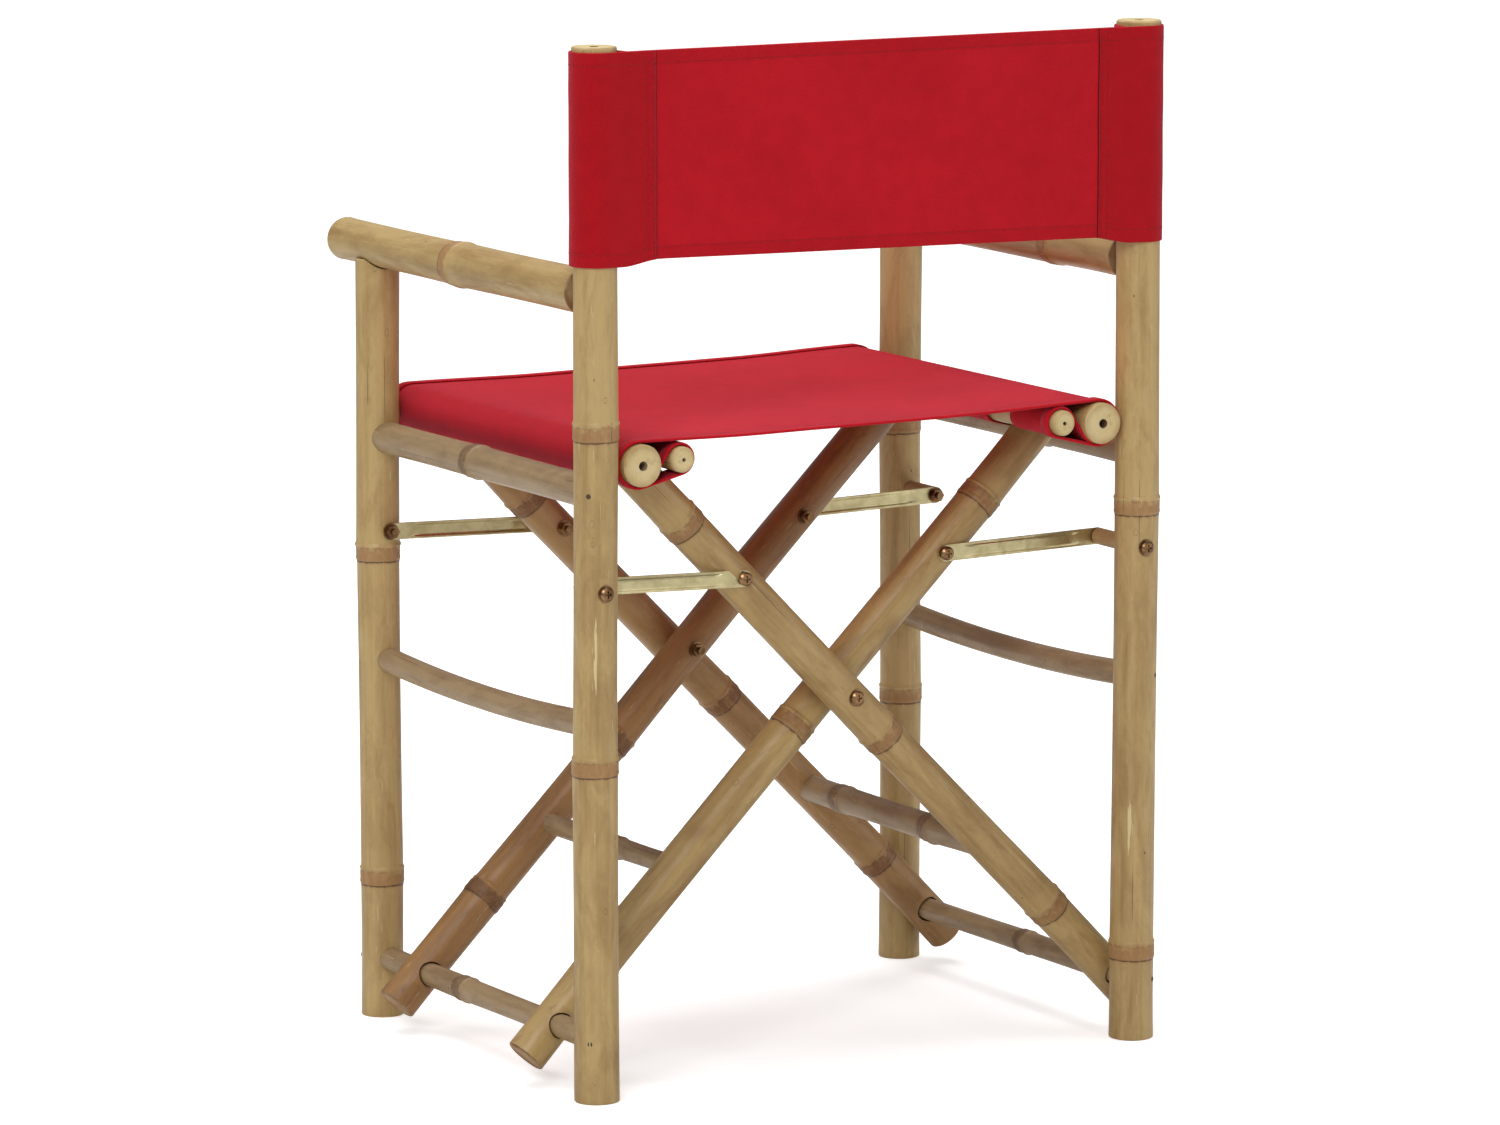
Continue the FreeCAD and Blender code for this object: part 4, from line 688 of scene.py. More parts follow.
# Scraped skin: the turn round the culm, the place along it, and their half widths.
POST_SCRAPES = {
    "left_rear_post": ((math.radians(62), 365 * MM, 0.17, 34 * MM),),
    "right_rear_post": ((math.radians(50), 180 * MM, 0.12, 22 * MM),),
}
post_radius = radius_of("left_rear_post", 0)
post_y = {end: centre_of(f"left_{end}_post").y for end in ENDS}
culm_pieces = {}

for side, way in SIDES.items():
    link_bolt = joint_at[f"{side}_rear_link_pivot"]
    for end, sign in ENDS.items():
        node = f"{side}_{end}_post"
        low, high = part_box(node)
        axis_x = link_bolt.x
        foot = Vector((axis_x, post_y[end], low.z))
        top = Vector((axis_x, post_y[end], high.z))
        arm_radius = radius_of(f"{side}_armrest", 0)
        cut = saddle(arm_radius, FRONT_POST_LAP) if end == "front" else square_cut
        scrapes = POST_SCRAPES.get(node, ())
        piece = culm(node, foot, top, post_radius, end_cut=cut, scrapes=scrapes)
        face = Vector((axis_x, post_y[end] + sign * post_radius, link_bolt.z))
        carve(piece, [(face, Y_AXIS, WASHER_SEAT_RADIUS, 2 * BOLT_SEAT_DEPTH)])
        culm_pieces[node] = piece
    rear_cut = saddle(post_radius, ARMREST_LAP)
    culm_pieces[f"{side}_armrest"] = cross_culm(
        f"{side}_armrest", end_cut=rear_cut, round_tip=ARMREST_TIP_ROUND, pith=0.0, end_wood=WORN_END)
    for rung in ("seat_side_rung", "middle_rung", "foot_rung"):
        culm_pieces[f"{side}_{rung}"] = cross_culm(f"{side}_{rung}", around=48)
    culm_pieces[f"{side}_seat_rail"] = cross_culm(f"{side}_seat_rail")
    culm_pieces[f"{side}_slip_rod"] = cross_culm(
        f"{side}_slip_rod", pith=THIN_PITH, around=48, chamfer=ROD_END_ROUND)

rail_at = {side: centre_of(f"{side}_seat_rail") for side in SIDES}
rod_at = {side: centre_of(f"{side}_slip_rod") for side in SIDES}
rail_radius = radius_of("left_seat_rail", 0)
rod_radius = radius_of("left_slip_rod", 0)
foot_rung_radius = radius_of("left_foot_rung", 0)
crossing = joint_at["crossing"]
leg_radius = radius_of("outer_rear_leg", 1)

for pair, (foot_joint, rail_side) in LEG_PAIRS.items():
    foot = joint_at[foot_joint]
    ahead = (crossing - foot).normalized()
    rail = rail_at[rail_side]
    top_reach = (rail - foot).dot(ahead) - ((rail - foot).y * ahead.y) - LEG_SHORT_OF_RAIL
    for end, sign in ENDS.items():
        node = f"{pair}_{end}_leg"
        low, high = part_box(node)
        y = (low.y + high.y) / 2
        axis_foot = Vector((foot.x, y, foot.z))
        toe_drop = foot.z - (low.z + leg_radius * abs(ahead.x))
        toe = axis_foot - ahead * (toe_drop / ahead.z)
        top = axis_foot + ahead * top_reach
        piece = culm(node, toe, top, leg_radius, across=Y_AXIS, pith=0.0, end_wood=WORN_END)
        faced = sign if pair == "outer" else -sign
        seats = [
            (axis_foot, Y_AXIS, foot_rung_radius + FOOT_HOLE_PLAY, 4 * leg_radius),
            (Vector((rod_at[rail_side].x, y, rod_at[rail_side].z)), Y_AXIS,
             rod_radius + ROD_NOTCH_PLAY, 4 * leg_radius),
            (Vector((crossing.x, y + faced * leg_radius, crossing.z)), Y_AXIS,
             WASHER_SEAT_RADIUS, 2 * BOLT_SEAT_DEPTH),
        ]
        culm_pieces[node] = carve(piece, seats)
    culm_pieces[f"{pair}_leg_rung"] = cross_culm(f"{pair}_leg_rung", around=48)

for node, piece in culm_pieces.items():
    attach(piece, body_of_node[node])


# ---------------------------------------------------------------- canvas
def make_weave_group():
    """A plain weave from the cloth's own coordinates: threads over and under."""
    group, into, out = new_group(
        "plain_weave", {"Place": "vector", "Thread": "float"}, {"Height": "float", "Shade": "float"})
    parts = add(group, "ShaderNodeSeparateXYZ", {0: into["Place"]}).outputs
    pace = maths(group, "DIVIDE", math.pi, into["Thread"])
    warp = maths(group, "SINE", maths(group, "MULTIPLY", parts[0], pace))
    weft = maths(group, "SINE", maths(group, "MULTIPLY", parts[1], pace))
    over = maths(group, "MULTIPLY", warp, weft)
    slub = cloudy(group, stretched(group, into["Place"], 700, 700), 3.0, 0.6)
    height = maths(group, "MULTIPLY_ADD", over, 0.5, slub)
    group.links.new(height, out["Height"])
    long_slub = cloudy(group, stretched(group, into["Place"], 60, 60), 4.0, 0.6)
    shade = maths(group, "MULTIPLY_ADD", over, 0.06, remap(group, slub, 0.3, 0.7, 0.93, 1.05))
    shade = maths(group, "MULTIPLY", shade, remap(group, long_slub, 0.3, 0.7, 0.95, 1.04))
    group.links.new(shade, out["Shade"])
    return group


weave_group = make_weave_group()


def canvas(name, colour, hem_colour, thread):
    """Woven canvas, deeper in colour where it lies double, and with a painted shadow line darkened in along a
    flap's edge.
    """
    material, tree, shader = new_material(name)
    place = attribute(tree, "cloth", "Vector")
    woven = place_group(tree, weave_group, {"Place": place, "Thread": thread})
    double = attribute(tree, "double")
    faded = cloudy(tree, stretched(tree, place, 9, 9), 3.0, 0.5)
    base = blend_colour(tree, remap(tree, faded, 0.3, 0.7, 0.0, 0.35), colour, hem_colour)
    base = blend_colour(tree, maths(tree, "MULTIPLY", double, 0.9), base, hem_colour)
    base = blend_colour(tree, 1.0, base, woven["Shade"], "MULTIPLY")
    # painted shadow: a dark line on the panel along each sleeve flap's edge, standing for the flap's shadow
    flap_shadow = maths(tree, "MULTIPLY", attribute(tree, "flap_shadow"), 0.8)
    base = blend_colour(tree, flap_shadow, base, linear(70, 3, 8))
    tree.links.new(base, shader.inputs["Base Color"])
    rough = remap(tree, woven["Height"], 0.0, 1.0, 0.9, 0.72)
    tree.links.new(rough, shader.inputs["Roughness"])
    tree.links.new(bump(tree, woven["Height"], 0.5, 0.0004), shader.inputs["Normal"])
    shader.inputs["Sheen Weight"].default_value = 0.2
    shader.inputs["Sheen Roughness"].default_value = 0.45
    shader.inputs["Sheen Tint"].default_value = linear(255, 165, 196)
    shader.inputs["Specular IOR Level"].default_value = 0.1
    return material


def sewing_thread(name, shaded, lit):
    """Twisted sewing thread."""
    material, tree, shader = new_material(name)
    place = add(tree, "ShaderNodeTexCoord").outputs["Object"]
    wave = add(tree, "ShaderNodeTexWave", {"Vector": place, "Scale": 900.0, "Distortion": 2.0})
    twist = wave.outputs["Fac"]
    tree.links.new(blend_colour(tree, twist, shaded, lit), shader.inputs["Base Color"])
    tree.links.new(bump(tree, twist, 0.5, 0.0002), shader.inputs["Normal"])
    shader.inputs["Roughness"].default_value = 0.7
    return material


CANVAS = canvas("red_canvas", linear(188, 20, 32), linear(162, 11, 20), 0.55 * MM)
# the back's thread: dark red, made darker still so its rows read as the dark line at each seam, partly painted
# shade
SEAM_SHADE_THREAD = sewing_thread("dark_red_thread_and_seam_shade", linear(92, 6, 12), linear(134, 14, 24))
SEAT_THREAD = sewing_thread("red_thread", linear(170, 18, 28), linear(196, 30, 42))


def arc(centre, radius, first, last, step=2.4 * MM):
    """Points of a circle from one angle to another, in degrees, in the XZ plane."""
    turn = math.radians(last - first)
    count = max(int(abs(turn) * radius / step), 4)
    made = []
    for index in range(count + 1):
        angle = math.radians(first) + turn * index / count
        made.append(Vector((centre.x + radius * math.cos(angle), centre.z + radius * math.sin(angle))))
    return made


def straight(first, last, step=6 * MM):
    count = max(int((last - first).length / step), 1)
    return [first.lerp(last, index / count) for index in range(count + 1)]


def joined(*runs):
    """Runs of points end to end, without doubled points."""
    line = []
    for run in runs:
        for point in run:
            if not line or (point - line[-1]).length > 0.05 * MM:
                line.append(point)
    return line


def half_seat_path(side):
    """One side's run of the seat cloth: from the end of the rod's loop, which is sewn
    down beside the rail, up between the rail and the slip rod, round the rod, and under
    and round the rail to its top. Returned with the notch's two ends."""
    way = SIDES[side]
    rail, rod = rail_at[side], rod_at[side]
    on_rail = rail_radius + CLOTH_OFFSET
    on_rod = rod_radius + CLOTH_OFFSET
    between = rail - rod
    apart = math.hypot(between.x, between.z)
    slope = math.degrees(math.atan2(between.z, between.x)) % 360
    crossed = slope + way * math.degrees(math.acos(min((on_rail + on_rod) / apart, 1.0)))
    crossed = crossed % 360
    lean = math.degrees(math.asin((on_rail - on_rod) / apart))
    under = (slope - way * (90 + lean)) % 360
    notch_turn = NOTCH_END_TURN[side]
    loop_end = arc(rail, on_rail, under - way * LOOP_END_TURN, crossed + 180)
    round_rod = arc(rod, on_rod, crossed, under if way > 0 else under - 360)
    outside = arc(rail, on_rail, under, notch_turn + 360 if way > 0 else notch_turn)
    outside += arc(rail, on_rail, notch_turn, 90)
    notch_angle = math.radians(notch_turn)
    notch_end = Vector((rail.x + on_rail * math.cos(notch_angle), rail.z + on_rail * math.sin(notch_angle)))
    line = joined(
        loop_end,
        straight(loop_end[-1], round_rod[0], 3 * MM),
        round_rod,
        straight(round_rod[-1], outside[0], 4 * MM),
        outside,
    )
    return line, line[0], notch_end


def running_length(line):
    lengths = [0.0]
    for first, last in zip(line, line[1:]):
        lengths.append(lengths[-1] + (last - first).length)
    return lengths


def hem_profile(low, high, steps):
    """A cloth's edge to edge run across its width, hemmed at both edges: the place,
    how far off the single layer it is, and how doubled the cloth is."""
    turned = [(low + HEM_WIDTH, HEM_GAP, HEM_DOUBLE), (low + HEM_WIDTH / 2, HEM_GAP, HEM_DOUBLE)]
    radius = HEM_GAP / 2
    for angle in (0, 30, 60, 90, 120, 150, 180):
        turned.append((low + radius - radius * math.sin(math.radians(angle)),
                       radius + radius * math.cos(math.radians(angle)), HEM_DOUBLE))
    turned.append((low + HEM_WIDTH * 0.5, 0.0, HEM_DOUBLE))
    turned.append((low + HEM_WIDTH, 0.0, HEM_DOUBLE))
    turned.append((low + HEM_WIDTH + 0.8 * MM, 0.0, 0.0))
    middle = [(low + (high - low) * share, 0.0, 0.0) for share in steps]
    mirrored = [(low + high - place, depth, double) for place, depth, double in reversed(turned)]
    inside = [m for m in middle if low + HEM_WIDTH + 3 * MM < m[0] < high - HEM_WIDTH - 3 * MM]
    return turned + inside + mirrored


def ripple(seed, *where):
    """Smooth noise from -1 to 1."""
    return noise.noise(Vector(where) + Vector((seed, seed * 0.7, seed * 1.3)))


seat_low, seat_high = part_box("seat_cover")
left_run, left_notch_start, left_notch_end = half_seat_path("left")
right_run, right_notch_start, right_notch_end = half_seat_path("right")
seat_line = joined(left_run, straight(left_run[-1], right_run[-1], 8 * MM), list(reversed(right_run)))
seat_lengths = running_length(seat_line)


def place_in(line, point):
    return min(range(len(line)), key=lambda index: (line[index] - point).length)


left_notch = (place_in(seat_line, left_notch_start), place_in(seat_line, left_notch_end))
right_notch = (place_in(seat_line, right_notch_end), place_in(seat_line, right_notch_start))
leg_layers = {
    "left": [centre_of(f"outer_{end}_leg").y for end in ENDS],
    "right": [centre_of(f"inner_{end}_leg").y for end in ENDS],
}
notch_half = leg_radius + NOTCH_MARGIN


def seat_columns():
    """Places across the seat, with a line at each notch's edges."""
    shares = [index / 52 for index in range(53)]
    for layers in leg_layers.values():
        for layer in layers:
            for edge in (layer - notch_half, layer + notch_half):
                share = (edge - seat_low.y) / (seat_high.y - seat_low.y)
                shares = [s for s in shares if abs(s - share) > 0.008] + [share]
    profile = hem_profile(seat_low.y, seat_high.y, sorted(shares))
    return [(place, depth, min(double, SEAT_HEM_DOUBLE)) for place, depth, double in profile]


def normal_of(line, index):
    """Unit normal of the seat's line in the XZ plane, away from the wood that it wraps."""
    before = line[max(index - 1, 0)]
    after = line[min(index + 1, len(line) - 1)]
    along = (after - before).normalized()
    return Vector((along.y, -along.x))


def seat_sag(x, y, index):
    """The seat's slight dip and its pull wrinkles, only between the rails."""
    inside = min(x - rail_at["right"].x, rail_at["left"].x - x)
    if inside < 0 or not left_notch[1] < index < right_notch[0]:
        return 0.0
    grip = min(inside / 0.12, 1.0)
    grip = grip * grip * (3 - 2 * grip)
    dip = 2.2 * MM * grip
    pull = 0.5 * MM * ripple(3.1, x * 9, y * 26, 0) * (1 - 0.5 * grip)
    broad = 0.7 * MM * ripple(8.4, x * 6, y * 7, 0) * grip
    return -dip + (pull + broad) * min(inside / 0.02, 1)


def seat_point(index, place, depth):
    spot = seat_line[index]
    outward = normal_of(seat_line, index)
    x = spot.x + outward.x * depth
    z = spot.y + outward.y * depth
    return Vector((x, place, z + seat_sag(spot.x, place, index)))


def in_notch(row, place):
    for side, (first, last) in (("left", left_notch), ("right", right_notch)):
        if first <= row < last:
            return any(abs(place - layer) < notch_half - 0.1 * MM for layer in leg_layers[side])
    return False


def cloth_grid(name, rows, columns, point, lengths, skip=None, layers=0.0, flap_shadow_rows=()):
    """A sheet over a grid of rows along its length and columns across its width. It is
    deeper in colour where layers lie on each other, and darkest in the given rows, where a painted shadow line is
    laid."""
    points = []
    coords = []
    doubles = []
    flap_shadows = []
    for row in range(rows):
        run = 0.0
        for column, (place, depth, double) in enumerate(columns):
            if column:
                run += math.hypot(place - columns[column - 1][0], depth - columns[column - 1][1])
            points.append(point(row, place, depth))
            coords.append((lengths[row], run, 0.0))
            doubles.append(max(double, layers))
            flap_shadows.append(1.0 if row in flap_shadow_rows else 0.0)
    wide = len(columns)
    faces = []
    for row in range(rows - 1):
        for column in range(wide - 1):
            middle = (columns[column][0] + columns[column + 1][0]) / 2
            if skip and skip(row, middle):
                continue
            first = row * wide + column
            faces.append((first, first + 1, first + wide + 1, first + wide))
    used = sorted({index for face in faces for index in face})
    renumber = {old: new for new, old in enumerate(used)}
    faces = [tuple(renumber[index] for index in face) for face in faces]
    attributes = {"cloth": [coords[i] for i in used], "double": [doubles[i] for i in used],
                  "flap_shadow": [flap_shadows[i] for i in used]}
    piece = new_piece(name, [points[i] for i in used], faces, [CANVAS], None, attributes, 180)
    thick = piece.modifiers.new("thickness", "SOLIDIFY")
    thick.thickness = CLOTH_THICKNESS
    thick.offset = 0.0
    bake_modifiers(piece)
    return piece


def stitches(name, line, out, thread, length=3.0 * MM, gap=1.7 * MM, thick=0.32 * MM):
    """A row of stitches along points, each with the direction out of the cloth there."""
    places = running_length(line)
    points = []
    faces = []
    spot = 0.0
    index = 0
    while spot + length < places[-1]:
        while places[index + 1] < spot + length / 2:
            index += 1
        share = (spot + length / 2 - places[index]) / (places[index + 1] - places[index])
        middle = line[index].lerp(line[index + 1], share)
        along = (line[index + 1] - line[index]).normalized()
        away = out[index].lerp(out[index + 1], share).normalized()
        side = along.cross(away)
        first = len(points)
        points.append(middle - along * length / 2 - away * thick)
        for shift, size in ((-0.28, 0.85), (0.28, 0.85)):
            for step in range(6):
                angle = step * math.pi / 3
                ring = side * math.cos(angle) + away * math.sin(angle) * 0.9
                points.append(middle + along * length * shift + ring * thick * size)
        points.append(middle + along * length / 2 - away * thick)
        for step in range(6):
            beside = (step + 1) % 6
            faces.append((first, first + 1 + beside, first + 1 + step))
            faces.append((first + 1 + step, first + 1 + beside, first + 7 + beside, first + 7 + step))
            faces.append((first + 13, first + 7 + step, first + 7 + beside))
        spot += length + gap
    piece = new_piece(name, points, faces, [thread], sharp=180)
    return piece


seat_fabric = cloth_grid(
    "seat_canvas", len(seat_line), seat_columns(), seat_point, seat_lengths, in_notch)
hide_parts("seat_cover")

seat_seams = []


def seat_row(name, places):
    """Stitches on the inner face of the seat, along points given by index and place."""
    line = []
    out = []
    for index, place in places:
        outward = normal_of(seat_line, index)
        inward = Vector((-outward.x, 0, -outward.y))
        line.append(seat_point(index, place, 0) + inward * STITCH_LIFT)
        out.append(inward)
    seat_seams.append(stitches(name, line, out, SEAT_THREAD))


top_rows = range(left_notch[1], right_notch[0])
for edge_name, place in (("rear", seat_high.y - STITCH_IN), ("front", seat_low.y + STITCH_IN)):
    seat_row(f"seat_{edge_name}_hem_stitches", [(index, place) for index in top_rows])
sewn_places = [seat_low.y + HEM_WIDTH + share * (seat_high.y - seat_low.y - 2 * HEM_WIDTH) / 60
               for share in range(61)]
for side, way in SIDES.items():
    rail = rail_at[side]
    sewn = min(top_rows, key=lambda i: abs(seat_line[i].x - (rail.x - way * 10 * MM))
               + (1 if seat_line[i].y < rail.z else 0))
    seat_row(f"seat_{side}_sleeve_stitches", [(sewn, place) for place in sewn_places])

for piece in [seat_fabric] + seat_seams:
    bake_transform(piece)


# ---------------------------------------------------------------- back
PANEL_BEHIND = 14.6 * MM  # the panel behind the rear posts' axes
TUNNEL_TUCK = 22.5 * MM  # a sleeve's front wall leaves the post at this place inside it
SEAM_INSET = 38 * MM
SLEEVE_HANG = 5 * MM
BACK_SKEW = 6 * MM  # the lower edge is this much higher at the left seam
# rows this close to a flap's edge get the painted shadow line
FLAP_SHADOW_REACH = 0.7 * MM
FLAP_LAP = CLOTH_THICKNESS + 0.25 * MM
back_low, back_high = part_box("back_cover")
panel_y = post_y["rear"] + PANEL_BEHIND
sleeve_radius = post_radius + CLOTH_OFFSET
post_x = {side: joint_at[f"{side}_rear_link_pivot"].x for side in SIDES}
seam_x = {side: post_x[side] - SIDES[side] * SEAM_INSET for side in SIDES}


def hang(x):
    """How far the back's lower edge hangs down at a place across it."""
    past = (abs(x) - abs(seam_x["left"]) + 14 * MM) / (36 * MM)
    share = min(max(past, 0), 1)
    return SLEEVE_HANG * share * share * (3 - 2 * share)


def back_height(x, place):
    """Height of a point of the back, with its lower edge hanging at the sleeves."""
    share = (back_high.z - place) / (back_high.z - back_low.z)
    pulled_up = BACK_SKEW * (x - seam_x["right"]) / (seam_x["left"] - seam_x["right"])
    return place + (pulled_up - hang(x)) * share ** 2


def back_billow(x, z):
    """Soft waves of the panel: vertical near the seams, broad in the middle."""
    across = x / abs(seam_x["left"])
    edge = abs(across) ** 3
    low_edge = (back_high.z - z) / (back_high.z - back_low.z)
    wave = 1.3 * MM * ripple(2.2, x * 10, z * 5, 0)
    pulls = 1.0 * MM * edge * ripple(5.7, x * 14, z * 30, 0)
    return wave * (1 - edge * 0.6) + pulls + 0.8 * MM * math.sin(across * 3.1) * low_edge


panel_xs = straight(Vector((seam_x["left"] + 3 * MM, 0)), Vector((seam_x["right"] - 3 * MM, 0)), 7 * MM)
panel_xs = [point.x for point in panel_xs]
flap_edges = [seam_x[side] - SIDES[side] * FLAP_WIDTH for side in SIDES]
panel_xs = [x for x in panel_xs if min(abs(x - edge) for edge in flap_edges) > 3 * MM]
for side, edge in zip(SIDES, flap_edges):
    panel_xs += [edge - SIDES[side] * step * MM for step in (-1.6, -0.6, 0.5, 1.5)]
panel_xs.sort(reverse=True)
# the panel's rows at each flap's edge, darkened as a painted shadow line
panel_flap_shadow_rows = [row for row, x in enumerate(panel_xs)
                 if min(abs(x - edge) for edge in flap_edges) < FLAP_SHADOW_REACH]
back_shares = [index / 26 for index in range(27)]
back_columns = hem_profile(back_low.z, back_high.z, back_shares)


def panel_point(row, place, depth):
    x = panel_xs[row]
    return Vector((x, panel_y - depth + back_billow(x, place), back_height(x, place)))


back_panel = cloth_grid(
    "back_panel", len(panel_xs), back_columns, panel_point,
    [panel_xs[0] - x for x in panel_xs], flap_shadow_rows=panel_flap_shadow_rows)
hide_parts("back_cover")


def sleeve_line(side):
    """A sleeve's section from above: from the flap behind the panel, round the post,
    tucked in close beside it, and on to the flap in front of the panel."""
    way = SIDES[side]
    centre = Vector((post_x[side], post_y["rear"]))
    ends = []
    for sign, leave in ((1, seam_x[side]), (-1, post_x[side] - way * TUNNEL_TUCK)):
        leaving = Vector((leave, panel_y + sign * FLAP_LAP))
        toward = leaving - centre
        swing = math.acos(sleeve_radius / toward.length)
        angle = math.atan2(toward.y, toward.x) - way * sign * swing
        touch = centre + Vector((math.cos(angle), math.sin(angle))) * sleeve_radius
        flap = Vector((seam_x[side] - way * FLAP_WIDTH, leaving.y))
        ends.append((flap, leaving, touch, angle))
    first, last = ends[0][3], ends[1][3]
    sweep = (last - first) % (2 * math.pi)
    if way > 0:
        sweep -= 2 * math.pi
    count = 44
    wrap = []
    for index in range(count + 1):
        angle = first + sweep * index / count
        wrap.append(centre + Vector((math.cos(angle), math.sin(angle))) * sleeve_radius)
    return joined(
        straight(ends[0][0], ends[0][1], 3 * MM),
        straight(ends[0][1], ends[0][2], 4 * MM),
        wrap,
        straight(ends[1][2], ends[1][1], 4 * MM),
        straight(ends[1][1], ends[1][0], 3 * MM),
    )


def wall_normal(line, index, way):
    """Direction out of a sleeve at one point of its section."""
    before = line[max(index - 1, 0)]
    after = line[min(index + 1, len(line) - 1)]
    along = (after - before).normalized()
    return Vector((-along.y, along.x, 0)) * way


def sew_sleeve(side):
    """One sleeve of the back, round its rear post, with its rows of stitches."""
    way = SIDES[side]
    line = sleeve_line(side)
    lengths = running_length(line)
    post = Vector((post_x[side], post_y["rear"]))

    def sleeve_point(row, place, depth):
        spot = line[row]
        out = wall_normal(line, row, way)
        x, y = spot.x - out.x * depth, spot.y - out.y * depth
        loose = min(max(((spot - post).length - sleeve_radius) / (12 * MM), 0), 1)
        billow = back_billow(spot.x, place) * loose
        slack = 0.35 * MM * (1 + ripple(4.4, spot.x * 30, place * 40, spot.y * 30))
        spread = slack * (1 - loose)
        return Vector((x + out.x * spread, y + out.y * spread + billow, back_height(spot.x, place)))

    sleeve = cloth_grid(
        f"{side}_back_sleeve", len(line), back_columns, sleeve_point, lengths, layers=SLEEVE_DOUBLE)
    rows = []
    first, last = back_low.z + 2 * MM, back_high.z - 2 * MM
    heights = [first + share * (last - first) / 40 for share in range(41)]
    for row_name, inset in (("seam", 1.6 * MM), ("flap", 7.2 * MM)):
        x = seam_x[side] - way * inset
        spots = [Vector((x, panel_y + 1.9 * MM + back_billow(x, z), back_height(x, z))) for z in heights]
        rows.append(stitches(f"{side}_back_{row_name}_stitches", spots, [Y_AXIS] * len(spots),
                             SEAM_SHADE_THREAD))
    for edge_name, z in hem_rows:
        outs = [wall_normal(line, row, way) for row in range(len(line))]
        spots = [sleeve_point(row, z, 0) + out * STITCH_LIFT for row, out in enumerate(outs)]
        rows.append(stitches(f"{side}_back_{edge_name}_hem_stitches", spots, outs, SEAM_SHADE_THREAD))
    for piece in [sleeve] + rows:
        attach(piece, f"{side}_frame")


hem_rows = (("top", back_high.z - STITCH_IN), ("bottom", back_low.z + STITCH_IN))
for side in SIDES:
    sew_sleeve(side)

panel_rows = []
for edge_name, z in hem_rows:
    for face, sign in (("rear", 1), ("front", -1)):
        shift = STITCH_LIFT if sign > 0 else HEM_GAP + STITCH_LIFT
        spots = [Vector((x, panel_y + sign * shift + back_billow(x, z), back_height(x, z)))
                 for x in panel_xs]
        outs = [Y_AXIS * sign] * len(spots)
        panel_rows.append(stitches(f"back_{edge_name}_hem_{face}_stitches", spots, outs, SEAM_SHADE_THREAD))

for piece in [back_panel] + panel_rows:
    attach(piece, "left_frame")
    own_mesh(piece)


# ---------------------------------------------------------------- metal and pegs
def make_metal_group():
    """Plated steel: cloudy plating, fine scratches and dulled patches."""
    group, into, out = new_group(
        "plated_steel",
        {"Place": "vector", "Plate": "colour", "Worn": "colour", "Polish": "float"},
        {"Color": "colour", "Roughness": "float", "Height": "float"},
    )
    cloud = cloudy(group, stretched(group, into["Place"], 70, 70), 4.0, 0.6, 0.5)
    scratch = cloudy(group, stretched(group, into["Place"], 300, 2600), 3.0, 0.7)
    colour = blend_colour(group, remap(group, cloud, 0.35, 0.7, 0.0, 0.8), into["Plate"], into["Worn"])
    group.links.new(colour, out["Color"])
    rough = maths(group, "MULTIPLY_ADD", scratch, 0.18, into["Polish"])
    rough = maths(group, "ADD", rough, remap(group, cloud, 0.4, 0.75, 0.0, 0.12))
    group.links.new(rough, out["Roughness"])
    group.links.new(scratch, out["Height"])
    return group


metal_group = make_metal_group()


def plated(name, plate, worn, polish):
    material, tree, shader = new_material(name)
    place = add(tree, "ShaderNodeTexCoord").outputs["Object"]
    made = place_group(tree, metal_group, {"Place": place, "Plate": plate, "Worn": worn, "Polish": polish})
    tree.links.new(made["Color"], shader.inputs["Base Color"])
    tree.links.new(made["Roughness"], shader.inputs["Roughness"])
    tree.links.new(bump(tree, made["Height"], 0.15, 0.0001), shader.inputs["Normal"])
    shader.inputs["Metallic"].default_value = 1.0
    return material


def turned_peg(name):
    """Bare turned bamboo of spacers and dowels, by its place in the chair."""
    material, tree, shader = new_material(name)
    place = add(tree, "ShaderNodeTexCoord").outputs["Object"]
    fibre = cloudy(tree, stretched(tree, place, 900, 900), 3.0, 0.6)
    cloud = cloudy(tree, stretched(tree, place, 90, 90), 3.0, 0.5)
    colour = blend_colour(tree, cloud, linear(178, 146, 98), linear(146, 108, 66))
    colour = blend_colour(tree, 1.0, colour, remap(tree, fibre, 0.3, 0.7, 0.85, 1.1), "MULTIPLY")
    tree.links.new(colour, shader.inputs["Base Color"])
    tree.links.new(remap(tree, cloud, 0.3, 0.7, 0.55, 0.75), shader.inputs["Roughness"])
    tree.links.new(bump(tree, fibre, 0.3, 0.0003), shader.inputs["Normal"])
    return material


LINK_ZINC = plated("link_zinc", linear(214, 202, 156), linear(182, 168, 122), 0.2)
BOLT_ZINC = plated("bolt_zinc", linear(158, 124, 88), linear(82, 56, 38), 0.2)
NAIL_STEEL = plated("nail_steel", linear(96, 84, 74), linear(58, 46, 38), 0.45)
PEG_WOOD = turned_peg("turned_bamboo")
CAD_LOOKS = {"bolt_zinc": BOLT_ZINC, "nail_steel": NAIL_STEEL, "bamboo_peg": PEG_WOOD}


